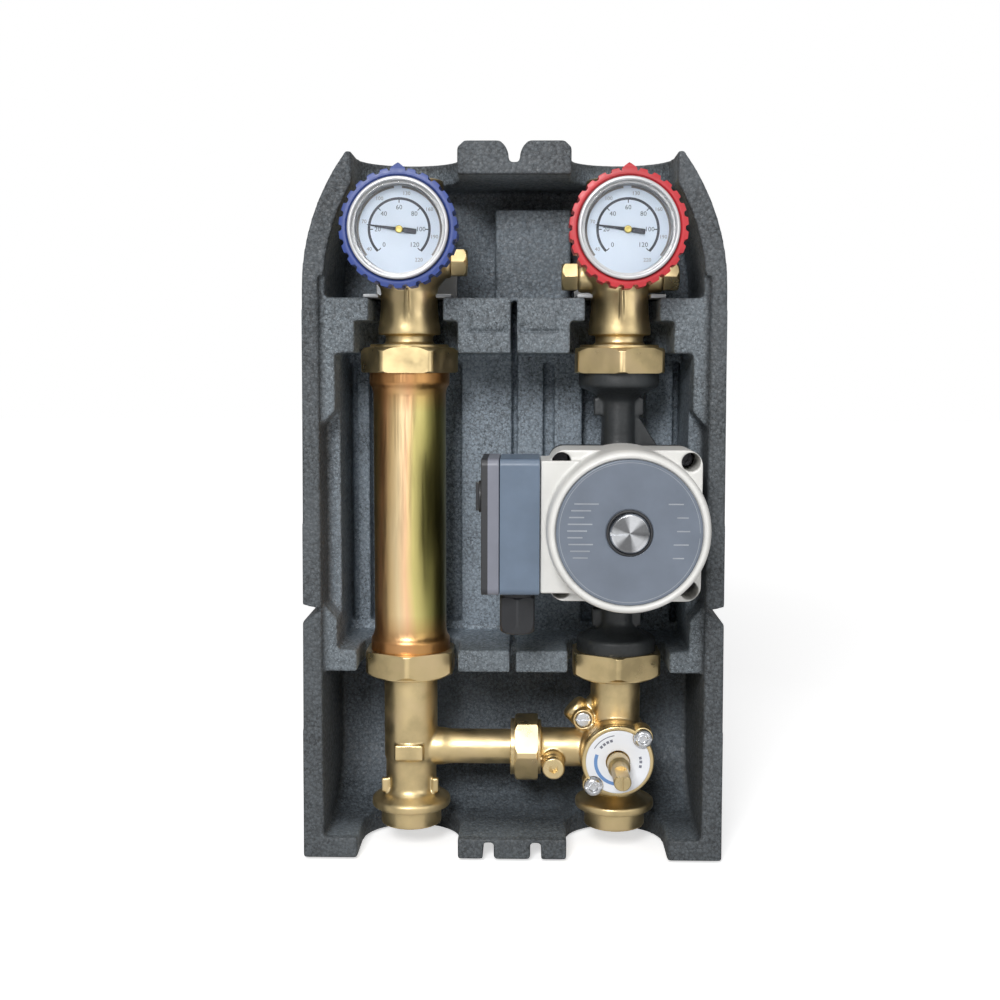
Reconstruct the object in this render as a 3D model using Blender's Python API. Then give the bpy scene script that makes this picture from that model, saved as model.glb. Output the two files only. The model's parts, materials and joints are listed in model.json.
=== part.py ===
"""Mixed-circuit heating pump station in its rear insulation shell.

Units are metres, +Z is up, +X is to the right and +Y runs into the wall.  The origin is on the flat back
face of the shell, in the plane of the wall.  The return line hangs at -X and the flow line at +X.
"""
import math

import bmesh
import bpy
from mathutils import Matrix, Vector

# Layout of the two lines
PIPE_SPACING = 0.125
AXIS_DEPTH = 0.080
PUMP_LENGTH = 0.180
PUMP_Z = -0.004
CROSS_DROP = 0.055
CLEARANCE = 0.0003

# Fineness of round shapes, in sides
SIDES_LARGE = 18
SIDES_SMALL = 12
SIDES_HIDDEN = 16

# Large unions at the pump and at the spacer pipe
PORT_THREAD_R = 0.0239
PORT_BORE_R = 0.0190
PORT_THREAD_LENGTH = 0.014
NUT_WALL = 0.0018
NUT_CORNER = 0.0030
NUT_OVERLAP = 0.0065
NUT_LIP = 0.0036
NUT_COLLAR_LENGTH = 0.0018
NUT_COLLAR_SHRINK = 0.0030
GASKET_THICKNESS = 0.0020
FLANGE_THICKNESS = 0.0040
TAIL_R = 0.0160
TAIL_BORE_R = 0.0120

# Cross union between the tee and the mixing valve
CROSS_THREAD_R = 0.0166
CROSS_TAIL_R = 0.0105
CROSS_BORE_R = 0.0078
CROSS_REACH = 0.0537
CROSS_THREAD_LENGTH = 0.0085
CROSS_PORT_R = 0.0118
CROSS_NUT_WALL = 0.0016
CROSS_NUT_CORNER = 0.0018
CROSS_COLLAR_SHRINK = 0.0015

# Spacer pipe
SPACER_R = 0.0217
SPACER_BORE_R = 0.0190

# Thermometer ball valves
BALL_RISE = 0.072
BALL_WALL = 0.0060
SEAT_WIDTH = 0.0038
SEAT_THICKNESS = 0.0044
VALVE_WALL = 0.0050
VALVE_WAIST_R = 0.0142
VALVE_WAIST_LENGTH = 0.0052
VALVE_BELL_R = 0.0190
VALVE_BELL_LENGTH = 0.0060
VALVE_NECK_R = 0.0165
SOCKET_R = 0.0150
SOCKET_WALL = 0.0055
SOCKET_DEPTH = 0.0100
SOCKET_SHELF = 0.0052
BODY_SHOULDER = 0.0100
BODY_SLOPE = 0.0075
STEM_R = 0.0046
STEM_FLANGE_R = 0.0066
STEM_FLANGE_THICKNESS = 0.0026
STEM_BOSS_R = 0.0105
STEM_BOSS_REACH = 0.0340
STEM_SQUARE = 0.0084
STEM_SQUARE_LENGTH = 0.0120
TANG_THICKNESS = 0.0040
TANG_DEPTH = 0.0045
PLUG_FLATS = 0.0155
PLUG_HEAD_LENGTH = 0.0094
PLUG_STUB_R = 0.0050
PLUG_STUB_LENGTH = 0.0045
PLUG_BOSS_R = 0.0092
PLUG_BOSS_PROUD = 0.0013
RETURN_PLUG_DROP = 0.0137
FLOW_PLUG_DROP = 0.0220

# Handles with their thermometers
HANDLE_R = 0.0322
HANDLE_TEETH = 26
TOOTH_DEPTH = 0.0017
TOOTH_SHARE = 0.18
HANDLE_POINTER = 0.0030
HANDLE_DEPTH = 0.0200
HANDLE_PLATE = 0.0030
HUB_LENGTH = 0.0150
HUB_WALL = 0.0040
CASE_R = 0.0275
CASE_DEPTH = 0.0192
CASE_BACK = 0.0015
CASE_STUB_R = 0.0022
CASE_STUB_LENGTH = 0.0080
BEZEL_WIDTH = 0.0022
BEZEL_RECESS = 0.0014
LENS_THICKNESS = 0.0018
LENS_LEDGE = 0.0013
DIAL_THICKNESS = 0.0006
DIAL_DEPTH = 0.0120
DIAL_LEDGE = 0.0015
POINTER_LENGTH = 0.0180
POINTER_TAIL = 0.0095
POINTER_WIDTH = 0.0016
POINTER_THICKNESS = 0.0006
POINTER_HUB_R = 0.0021
POINTER_PIN_R = 0.0009
POINTER_REST_ANGLE = 172.0

# Tee and the lower ends of both lines
LOWER_DROP = 0.0475
SPIGOT_R = 0.0184
SPIGOT_LENGTH = 0.0110
COLLAR_R = 0.0240
COLLAR_THICKNESS = 0.0050
COLLAR_CONE = 0.0045
TEE_PAD_WIDTH = 0.0160
TEE_PAD_HEIGHT = 0.0090
TEE_PAD_PROUD = 0.0015
TEE_LUG_WIDTH = 0.0040
TEE_LUG_HEIGHT = 0.0090
TEE_LUG_ANGLE = 62.0

# Mixing valve
MIX_NECK_R = 0.0150
MIX_LOWER_NECK_R = 0.0125
MIX_BORE_R = 0.0100
BARREL_R = 0.0215
BARREL_FRONT = 0.0260
BARREL_BACK = 0.0240
BARREL_WALL = 0.0060
COVER_THICKNESS = 0.0040
SCALE_R = 0.0190
SCALE_THICKNESS = 0.0012
MIX_SCREW_EDGE = 0.0022
MIX_SCREW_R = 0.0025
MIX_SCREW_HEAD_R = 0.0056
MIX_SCREW_HEAD = 0.0042
MIX_SCREW_LENGTH = 0.0120
MIX_EAR_EDGE = 0.0006
SPINDLE_R = 0.0050
SPINDLE_HUB_R = 0.0066
SPINDLE_HUB_LENGTH = 0.0130
SPINDLE_REACH = 0.0400
SPINDLE_FLAT = 0.0016
BYPASS_BOSS_R = 0.0080
BYPASS_BOSS_REACH = 0.0380
BYPASS_SCREW_R = 0.0046
BYPASS_SCREW_DISTANCE = 0.0280
BYPASS_SCREW_SINK = 0.0070
BYPASS_SLOT = 0.0012
BYPASS_WALL = 0.0018
BYPASS_FACE = 0.0112
BYPASS_LINK_R = 0.0050
SIDE_BOSS_R = 0.0068
SIDE_BOSS_X = 0.0380
SIDE_BOSS_DROP = 0.0055
SIDE_BOSS_REACH = 0.0220
SIDE_PLUG_HEAD = 0.0060
SIDE_PLUG_R = 0.0046
SIDE_PLUG_STUB = 0.0060
ROTOR_EDGE = 0.0020
ROTOR_HUB_WALL = 0.0030
SPINDLE_SOCKET = 0.0160
SIDE_PLUG_SOCKET_FLATS = 0.0050

# Pump and motor
VOLUTE_R = 0.0405
VOLUTE_FRONT = 0.0280
VOLUTE_BACK = 0.0240
VOLUTE_WALL = 0.0060
PUMP_NECK_R = 0.0102
PUMP_NECK_BORE_R = 0.0074
PORT_CUP = 0.0045
NECK_LUG_WIDTH = 0.0090
NECK_LUG_HEIGHT = 0.0105
NECK_LUG_PROUD = 0.0045
WEB_REACH = 0.0340
WEB_THICKNESS = 0.0080
IMPELLER_R = 0.0270
IMPELLER_DEPTH = 0.0110
IMPELLER_PLATE = 0.0020
IMPELLER_BACK = 0.0040
IMPELLER_HUB_WALL = 0.0030
BLADE_LEAN = 40.0
IMPELLER_BLADES = 6
BLADE_THICKNESS = 0.0020
SHAFT_R = 0.0040
BEARING_WALL = 0.0035
BEARING_LENGTH = 0.0080
PLATE_THICKNESS = 0.0030
CAN_R = 0.0195
CAN_WALL = 0.0010
CAN_END = 0.0010
END_SPACE = 0.0160
ROTOR_GAP = 0.0006
ROTOR_LENGTH = 0.0380
ROTOR_END_GAP = 0.0015
STATOR_LENGTH = 0.0360
MOTOR_R = 0.0440
MOTOR_WALL = 0.0040
MOTOR_FIT = 0.0008
MOTOR_FRONT_WALL = 0.0030
MOTOR_EDGE = 0.0014
FLANGE_WALL = 0.0013
FLANGE_CORNER = 0.0020
PUMP_FLANGE_DEPTH = 0.0100
FLANGE_DEPTH = 0.0420
SCREW_SQUARE = 0.0355
SCREW_POCKET_R = 0.0052
SCREW_HOLE_R = 0.0027
SCREW_FLOOR = 0.0080
BOX_SADDLE_X = 0.0470
BOX_SADDLE_HALF = 0.0365
LABEL_R = 0.0390
LABEL_THICKNESS = 0.0016
LABEL_RECESS = 0.0012
VENT_HEAD_R = 0.0105
VENT_HEAD = 0.0045
VENT_STUB_R = 0.0062
VENT_SLOT = 0.0016
BOX_DEPTH = 0.0220
BOX_HALF_HEIGHT = 0.0376
BOX_BACK = 0.0340
BOX_WIDTH = 0.0460
BOX_WALL = 0.0025
BOX_CORNER_R = 0.0040
LID_DEPTH = 0.0098
SELECTOR_R = 0.0090
SELECTOR_HEAD = 0.0018
SELECTOR_SHAFT_R = 0.0035
SELECTOR_RISE = 0.0150
GLAND_R = 0.0108
GLAND_LENGTH = 0.0245
GLAND_STUB_R = 0.0075
GLAND_BORE_R = 0.0042
GLAND_EDGE = 0.0012

# Insulation shell
SHELL_SIDE = 0.0625
SHELL_DEPTH = 0.110
SHELL_BACK = 0.025
SHELL_WALL = 0.0125
LEDGE_WIDTH = 0.0085
LEDGE_DROP = 0.022
SHELL_END_WALL = 0.013
SHELL_TOP_MARGIN = 0.013
SHELL_BOTTOM_MARGIN = 0.0135
SHOULDER_DROP = 0.078
SHOULDER_INSET = 0.026
SIDE_DRAFT = 0.003
PASSAGE_GAP = 0.0010
NECK_PASSAGE_GAP = 0.0050
CROSS_WALL_RECESS = 0.005
UPPER_WALL_LOW = 0.005
UPPER_LUG = 0.013
LOWER_WALL_TOP = 0.010
LOWER_WALL_LOW = 0.003
PAD_DEPTH = 0.040
PAD_INSET = 0.005
SPACER_TROUGH_GAP = 0.0073
PUMP_TROUGH_HALF = 0.020
TROUGH_R = 0.045
TROUGH_STEPS = 6
TAB_HEIGHT = 0.006
TAB_GAP = 0.009
FOOT_SLOT_X = 0.0142
FOOT_SLOT_WIDTH = 0.0065
FOOT_SLOT_RISE = 0.010
SIDE_NOTCH_DROP = 0.0524
SIDE_NOTCH_HEIGHT = 0.0101
SIDE_NOTCH_DEPTH = 0.0106
RIM_GROOVE_INSET = 0.0080
RIM_GROOVE_WIDTH = 0.0022
RIM_GROOVE_DEPTH = 0.0040
CENTRE_SLOT = 0.0036
SIDE_SLOT_X = 0.0215
SIDE_SLOT_WIDTH = 0.0070
PANEL_LEFT = 0.012
PANEL_GAP = 0.0027
PANEL_DEPTH = 0.058
PANEL_TOP_GAP = 0.014
RECESS_HALF = 0.052
RECESS_SLOPE = 0.010

# Wall bracket
BRACKET_SHEET = 0.0022
BRACKET_TINE = 0.0090
BRACKET_REACH = 0.0160
BRACKET_HEIGHT = 0.0240
BRACKET_HOLE_R = 0.0040
BRACKET_HOLE_RISE = 0.0144
BRACKET_DROP = 0.0015

# Values worked out from the driving dimensions
RETURN_X = -PIPE_SPACING / 2
FLOW_X = PIPE_SPACING / 2
UPPER_PORT_Z = PUMP_Z + PUMP_LENGTH / 2
LOWER_PORT_Z = PUMP_Z - PUMP_LENGTH / 2
CROSS_Z = LOWER_PORT_Z - CROSS_DROP
BALL_Z = UPPER_PORT_Z + BALL_RISE
LOWER_END_Z = CROSS_Z - LOWER_DROP
FLANGE_R = PORT_THREAD_R - CLEARANCE
TAIL_FACE = GASKET_THICKNESS + 2 * CLEARANCE
TAIL_SHOULDER = TAIL_FACE + FLANGE_THICKNESS
NUT_END = TAIL_SHOULDER + CLEARANCE + NUT_LIP
NUT_APOTHEM = PORT_THREAD_R + CLEARANCE + NUT_WALL
NUT_ROUND_R = NUT_APOTHEM + NUT_CORNER
PASSAGE_R = NUT_ROUND_R + PASSAGE_GAP
NECK_PASSAGE_R = VALVE_NECK_R + NECK_PASSAGE_GAP
BALL_R = TAIL_BORE_R + BALL_WALL
CAVITY_R = BALL_R + 2 * CLEARANCE
VALVE_BODY_R = CAVITY_R + VALVE_WALL
SEAT_INNER_R = TAIL_BORE_R + CLEARANCE
SEAT_OUTER_R = SEAT_INNER_R + SEAT_WIDTH
SEAT_MIDDLE_R = (SEAT_INNER_R + SEAT_OUTER_R) / 2
SEAT_HEIGHT = math.sqrt(BALL_R ** 2 - SEAT_MIDDLE_R ** 2)
SEAT_SLOPE = SEAT_MIDDLE_R / SEAT_HEIGHT
SEAT_LIFT = SEAT_HEIGHT + CLEARANCE * BALL_R / SEAT_HEIGHT
SEAT_TOP = SEAT_LIFT + SEAT_SLOPE * SEAT_WIDTH / 2
SEAT_FOOT = SEAT_LIFT - SEAT_SLOPE * SEAT_WIDTH / 2
SEAT_BACK = SEAT_TOP + SEAT_THICKNESS
VALVE_TOP = SEAT_BACK + CLEARANCE + SOCKET_SHELF + SOCKET_DEPTH
NECK_TOP_DROP = SEAT_BACK + BODY_SHOULDER
PLUG_FACE = VALVE_BODY_R + PLUG_BOSS_PROUD
HANDLE_BACK = STEM_BOSS_REACH + CLEARANCE
PLATE_BACK = HANDLE_BACK + HUB_LENGTH
CASE_BACK_Y = PLATE_BACK + HANDLE_PLATE + CLEARANCE
CASE_FRONT_Y = CASE_BACK_Y + CASE_DEPTH
CASE_RIM_R = CASE_R - BEZEL_WIDTH
CASE_BORE_R = CASE_RIM_R - LENS_LEDGE
LENS_SEAT_Y = CASE_FRONT_Y - BEZEL_RECESS - LENS_THICKNESS - CLEARANCE
DIAL_SEAT_Y = CASE_FRONT_Y - DIAL_DEPTH
CHAMBER_R = BARREL_R - BARREL_WALL
COVER_BACK = BARREL_FRONT + CLEARANCE
COVER_FRONT = COVER_BACK + COVER_THICKNESS
SCALE_BACK = COVER_FRONT + CLEARANCE
SCALE_FRONT = SCALE_BACK + SCALE_THICKNESS
MIX_SCREW_RING = CHAMBER_R + MIX_SCREW_EDGE + MIX_SCREW_R + CLEARANCE
MIX_EAR_R = MIX_SCREW_HEAD_R + MIX_EAR_EDGE
MOTOR_BACK = VOLUTE_FRONT + CLEARANCE
MOTOR_BORE_R = MOTOR_R - MOTOR_WALL
PLATE_START = MOTOR_BACK + CLEARANCE
BEARING_END = PLATE_START + BEARING_LENGTH
CAN_START = PLATE_START + PLATE_THICKNESS + CLEARANCE
ROTOR_START = BEARING_END + ROTOR_END_GAP
ROTOR_END = ROTOR_START + ROTOR_LENGTH
CAN_FRONT = ROTOR_END + ROTOR_END_GAP + CAN_END
MOTOR_INNER_FRONT = CAN_FRONT + END_SPACE
LABEL_BACK = MOTOR_INNER_FRONT + MOTOR_FRONT_WALL
LABEL_FRONT = LABEL_BACK + CLEARANCE + LABEL_THICKNESS
MOTOR_FRONT = LABEL_FRONT + LABEL_RECESS
FLANGE_HALF = SCREW_SQUARE + SCREW_POCKET_R + FLANGE_WALL
FLANGE_CORNER_R = SCREW_POCKET_R + FLANGE_WALL + FLANGE_CORNER
BOX_START = BOX_SADDLE_X + CLEARANCE
BOX_END = BOX_START + BOX_DEPTH
LID_START = BOX_END + CLEARANCE
LID_END = LID_START + LID_DEPTH
BOX_MIDDLE_Y = BOX_BACK + BOX_WIDTH / 2
SHELL_HALF = PIPE_SPACING / 2 + SHELL_SIDE
SHELL_TOP_Z = BALL_Z + VALVE_TOP + SHELL_TOP_MARGIN
SHELL_BOTTOM_Z = LOWER_END_Z - SHELL_BOTTOM_MARGIN
PLUG_LOW_DROP = max(RETURN_PLUG_DROP, FLOW_PLUG_DROP) + PLUG_BOSS_R
BRACKET_Z = BALL_Z - max(NECK_TOP_DROP, PLUG_LOW_DROP) - BRACKET_DROP - BRACKET_SHEET
UPPER_WALL_TOP_Z = BRACKET_Z - CLEARANCE
BRACKET_HALF = VALVE_NECK_R + CLEARANCE + BRACKET_TINE
PANEL_RIGHT = FLOW_X - BRACKET_HALF - PANEL_GAP

# Colour, roughness and metallic value of each finish
FINISHES = {
    "foam": ((0.060, 0.064, 0.070), 0.90, 0.0),
    "brass": ((0.620, 0.430, 0.160), 0.34, 1.0),
    "zinc": ((0.700, 0.710, 0.720), 0.32, 1.0),
    "chromate": ((0.640, 0.470, 0.190), 0.22, 1.0),
    "steel": ((0.560, 0.570, 0.580), 0.28, 1.0),
    "chrome": ((0.800, 0.800, 0.800), 0.08, 1.0),
    "iron": ((0.018, 0.019, 0.021), 0.48, 0.0),
    "cream": ((0.780, 0.760, 0.700), 0.42, 0.0),
    "label": ((0.100, 0.115, 0.140), 0.50, 0.0),
    "box": ((0.130, 0.160, 0.200), 0.42, 0.0),
    "black": ((0.020, 0.020, 0.022), 0.50, 0.0),
    "blue": ((0.030, 0.090, 0.380), 0.38, 0.0),
    "red": ((0.560, 0.040, 0.035), 0.38, 0.0),
    "bezel": ((0.760, 0.720, 0.640), 0.25, 1.0),
    "dial": ((0.830, 0.850, 0.900), 0.50, 0.0),
    "glass": ((0.950, 0.970, 1.000), 0.05, 0.0),
    "sealing": ((0.060, 0.120, 0.100), 0.75, 0.0),
    "seat": ((0.880, 0.880, 0.860), 0.45, 0.0),
    "copper": ((0.480, 0.220, 0.110), 0.40, 1.0),
    "scale": ((0.830, 0.840, 0.850), 0.48, 0.0),
}
SMOOTH_ANGLE = 35.0
SLIVER = 2e-6


def clear_scene():
    for item in list(bpy.data.objects):
        bpy.data.objects.remove(item, do_unlink=True)


def frame_at(name, place, parent=None):
    """An empty that carries the pieces of one group, on its axis."""
    made = bpy.data.objects.new(name, None)
    bpy.context.scene.collection.objects.link(made)
    made.location = place
    made.parent = parent
    return made


def solid(mesh_data):
    """A new object from a bmesh, with its faces pointing out."""
    bmesh.ops.recalc_face_normals(mesh_data, faces=mesh_data.faces)
    mesh = bpy.data.meshes.new("shape")
    mesh_data.to_mesh(mesh)
    mesh_data.free()
    made = bpy.data.objects.new("shape", mesh)
    bpy.context.scene.collection.objects.link(made)
    return made


def along(direction):
    """The turn that takes +Z to a direction."""
    return Vector(direction).to_track_quat("Z", "Y").to_matrix().to_4x4()


HEXAGON_FLAT_FIRST = 0.0
HEXAGON_EDGE_FIRST = math.radians(30.0)
UP = Matrix.Identity(4)
FORWARD = Matrix.Rotation(math.radians(90.0), 4, "X")
RIGHT = Matrix.Rotation(math.radians(90.0), 4, "Y")


def turned(profile, sides, turn=UP, place=(0.0, 0.0, 0.0), start=0.0):
    """A closed profile of (radius, height) points, spun about its axis."""
    built = bmesh.new()
    rings = []
    for radius, height in profile:
        if radius < SLIVER:
            rings.append([built.verts.new((0.0, 0.0, height))])
            continue
        ring = []
        for index in range(sides):
            angle = start + 2 * math.pi * index / sides
            ring.append(built.verts.new((radius * math.cos(angle), radius * math.sin(angle), height)))
        rings.append(ring)
    for low, high in zip(rings, rings[1:] + rings[:1]):
        for index in range(sides):
            after = (index + 1) % sides
            if len(low) == 1 and len(high) == 1:
                continue
            if len(low) == 1:
                built.faces.new((low[0], high[index], high[after]))
            elif len(high) == 1:
                built.faces.new((low[index], low[after], high[0]))
            else:
                built.faces.new((low[index], low[after], high[after], high[index]))
    bmesh.ops.transform(built, matrix=Matrix.Translation(place) @ turn, verts=built.verts)
    return solid(built)


def rod(radius, low, high, sides, turn=UP, place=(0.0, 0.0, 0.0)):
    return turned([(0.0, low), (radius, low), (radius, high), (0.0, high)], sides, turn, place)


def pipe(inner, outer, low, high, sides, turn=UP, place=(0.0, 0.0, 0.0)):
    return turned([(inner, low), (outer, low), (outer, high), (inner, high)], sides, turn, place)


def box(low, high):
    built = bmesh.new()
    bmesh.ops.create_cube(built, size=1.0)
    size = Vector(high) - Vector(low)
    middle = (Vector(high) + Vector(low)) / 2
    matrix = Matrix.Translation(middle) @ Matrix.Diagonal((*size, 1.0))
    bmesh.ops.transform(built, matrix=matrix, verts=built.verts)
    return solid(built)


def prism(outline, low, high, across="xz"):
    """An outline drawn in two axes and carried from low to high along the third."""
    order = {"xz": (0, 2, 1), "yz": (1, 2, 0), "xy": (0, 1, 2)}[across]
    built = bmesh.new()
    rings = []
    for level in (low, high):
        ring = []
        for first, second in outline:
            point = [0.0, 0.0, 0.0]
            point[order[0]] = first
            point[order[1]] = second
            point[order[2]] = level
            ring.append(built.verts.new(point))
        rings.append(ring)
    built.faces.new(rings[0])
    built.faces.new(rings[1])
    count = len(outline)
    for index in range(count):
        after = (index + 1) % count
        built.faces.new((rings[0][index], rings[0][after], rings[1][after], rings[1][index]))
    return solid(built)


def arc(centre, radius, start, end, steps):
    """Points on an arc, with angles in degrees."""
    points = []
    for index in range(steps + 1):
        angle = math.radians(start + (end - start) * index / steps)
        points.append((centre[0] + radius * math.cos(angle), centre[1] + radius * math.sin(angle)))
    return points


def rounded_rectangle(low, high, radius, steps=4):
    corners = (
        ((high[0] - radius, high[1] - radius), 0.0),
        ((low[0] + radius, high[1] - radius), 90.0),
        ((low[0] + radius, low[1] + radius), 180.0),
        ((high[0] - radius, low[1] + radius), 270.0),
    )
    points = []
    for centre, start in corners:
        points.extend(arc(centre, radius, start, start + 90.0, steps))
    return points


def slot_outline(centre_x, radius, open_y, steps=12):
    """A round-backed slot in the XY plane, open towards the viewer."""
    round_end = arc((centre_x, -AXIS_DEPTH), radius, 0.0, 180.0, steps)
    return round_end + [(centre_x - radius, open_y), (centre_x + radius, open_y)]


def is_closed(mesh):
    """True where every edge of a mesh has two faces."""
    built = bmesh.new()
    built.from_mesh(mesh)
    closed = all(len(edge.link_faces) == 2 for edge in built.edges)
    built.free()
    return closed


def without_strays(mesh):
    """The mesh with no loose edges or points, no doubled points and no slivers."""
    built = bmesh.new()
    built.from_mesh(mesh)
    bmesh.ops.remove_doubles(built, verts=built.verts, dist=SLIVER)
    bmesh.ops.dissolve_degenerate(built, dist=SLIVER, edges=built.edges)
    bmesh.ops.delete(built, geom=[edge for edge in built.edges if not edge.link_faces], context="EDGES")
    bmesh.ops.delete(built, geom=[point for point in built.verts if not point.link_faces], context="VERTS")
    built.to_mesh(mesh)
    built.free()
    return mesh


def boolean(base, other, operation, solver):
    step = base.modifiers.new(operation, "BOOLEAN")
    step.operation = operation
    step.solver = solver
    step.object = other
    bpy.context.view_layer.update()
    graph = bpy.context.evaluated_depsgraph_get()
    result = bpy.data.meshes.new_from_object(base.evaluated_get(graph))
    base.modifiers.clear()
    return without_strays(result)


def combine(base, others, operation):
    """Cuts, joins or crosses a shape with others, which are used up.

    The second solver mends what the first leaves open.
    """
    for other in others:
        result = boolean(base, other, operation, "EXACT")
        if not is_closed(result):
            result = boolean(base, other, operation, "MANIFOLD")
        base.data = result
        bpy.data.objects.remove(other, do_unlink=True)
    return base


def cut(base, *others):
    return combine(base, others, "DIFFERENCE")


def join(base, *others):
    return combine(base, others, "UNION")


def cross(base, *others):
    return combine(base, others, "INTERSECT")


def piece(name, shape, finish, carrier=None):
    """Names a finished shape, gives it its material and hangs it on its group."""
    shape.name = name
    shape.data.name = name
    colour, roughness, metallic = FINISHES[finish]
    coat = bpy.data.materials.new(name)
    coat.use_nodes = True
    shader = coat.node_tree.nodes["Principled BSDF"]
    shader.inputs["Base Color"].default_value = (*colour, 1.0)
    shader.inputs["Roughness"].default_value = roughness
    shader.inputs["Metallic"].default_value = metallic
    shape.data.materials.clear()
    shape.data.materials.append(coat)
    shape.data.shade_smooth()
    shape.data.set_sharp_from_angle(angle=math.radians(SMOOTH_ANGLE))
    shape.parent = carrier
    return shape


def hexagon(flats, low, high, turn=UP, place=(0.0, 0.0, 0.0), start=0.0):
    corner = flats / math.sqrt(3.0)
    return turned([(0.0, low), (corner, low), (corner, high), (0.0, high)], 6, turn, place, start)


def tail_profile(outwards):
    """The flange and tail that a union nut draws up, as (radius, height) from the port face outwards."""
    return [
        (FLANGE_R, outwards * TAIL_FACE),
        (FLANGE_R, outwards * TAIL_SHOULDER),
        (TAIL_R, outwards * TAIL_SHOULDER),
    ]


def nut_shape(thread_r, wall, corner, tail_r, shrink, turn, start):
    """A union nut: hexagon, round collar, wide thread bore and narrow lip bore."""
    apothem = thread_r + CLEARANCE + wall
    round_r = apothem + corner
    collar_r = apothem - shrink
    collar_start = NUT_END - NUT_COLLAR_LENGTH
    body = hexagon(2 * apothem, -NUT_OVERLAP, NUT_END, turn, start=start)
    envelope = [
        (0.0, -NUT_OVERLAP - CLEARANCE),
        (apothem, -NUT_OVERLAP - CLEARANCE),
        (round_r, -NUT_OVERLAP + corner),
        (round_r, collar_start - corner),
        (apothem, collar_start),
        (collar_r, collar_start),
        (collar_r, NUT_END - CLEARANCE),
        (0.0, NUT_END - CLEARANCE),
    ]
    body = cross(body, turned(envelope, SIDES_SMALL, turn, start=start + math.pi / SIDES_SMALL))
    bore = [
        (0.0, -NUT_OVERLAP - NUT_LIP),
        (thread_r + CLEARANCE, -NUT_OVERLAP - NUT_LIP),
        (thread_r + CLEARANCE, TAIL_SHOULDER + CLEARANCE),
        (tail_r + CLEARANCE, TAIL_SHOULDER + CLEARANCE),
        (tail_r + CLEARANCE, NUT_END + NUT_LIP),
        (0.0, NUT_END + NUT_LIP),
    ]
    return cut(body, turned(bore, SIDES_LARGE, turn))


def make_large_union(side, level, x, z, outwards, start):
    """The nut and gasket of one large union; outwards is +1 above the pump and -1 below it."""
    carrier = frame_at(f"{side}_{level}_union", (x, -AXIS_DEPTH, z))
    turn = UP if outwards > 0 else Matrix.Rotation(math.pi, 4, "X")
    nut = nut_shape(PORT_THREAD_R, NUT_WALL, NUT_CORNER, TAIL_R, NUT_COLLAR_SHRINK, turn, start)
    piece(f"union_nut_{side}_{level}", nut, "brass", carrier)
    gasket = pipe(PORT_BORE_R, FLANGE_R, CLEARANCE, CLEARANCE + GASKET_THICKNESS, SIDES_HIDDEN, turn)
    piece(f"gasket_{side}_{level}", gasket, "sealing", carrier)


def make_cross_union():
    """The small union that joins the tee's branch to the mixing valve."""
    carrier = frame_at("cross_union", (FLOW_X - CROSS_REACH, -AXIS_DEPTH, CROSS_Z))
    turn = Matrix.Rotation(math.pi, 4, "Z") @ RIGHT
    start = HEXAGON_EDGE_FIRST
    nut = nut_shape(
        CROSS_THREAD_R, CROSS_NUT_WALL, CROSS_NUT_CORNER, CROSS_TAIL_R, CROSS_COLLAR_SHRINK, turn, start
    )
    piece("cross_union_nut", nut, "brass", carrier)
    outer = CROSS_THREAD_R - CLEARANCE
    gasket = pipe(CROSS_BORE_R, outer, CLEARANCE, CLEARANCE + GASKET_THICKNESS, SIDES_SMALL, turn)
    piece("gasket_cross", gasket, "sealing", carrier)


def make_spacer_pipe():
    """The plain pipe that stands where a pump would sit in the return line."""
    carrier = frame_at("spacer", (RETURN_X, -AXIS_DEPTH, PUMP_Z))
    half = PUMP_LENGTH / 2
    thread_end = half - PORT_THREAD_LENGTH
    flare = PORT_THREAD_R - SPACER_R
    profile = [
        (SPACER_BORE_R, -half),
        (PORT_THREAD_R, -half),
        (PORT_THREAD_R, -thread_end),
        (SPACER_R, -thread_end + flare),
        (SPACER_R, thread_end - flare),
        (PORT_THREAD_R, thread_end),
        (PORT_THREAD_R, half),
        (SPACER_BORE_R, half),
    ]
    piece("spacer_pipe", turned(profile, SIDES_LARGE), "chromate", carrier)


def lower_end_profile(neck_r):
    """Neck, cone, collar and spigot at the lower end of a line, as (radius, height) about the cross axis."""
    spigot_top = -LOWER_DROP + SPIGOT_LENGTH
    collar_top = spigot_top + COLLAR_THICKNESS
    return [
        (neck_r, collar_top + COLLAR_CONE),
        (COLLAR_R, collar_top),
        (COLLAR_R, spigot_top),
        (SPIGOT_R, spigot_top),
        (SPIGOT_R, -LOWER_DROP),
    ]


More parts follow.
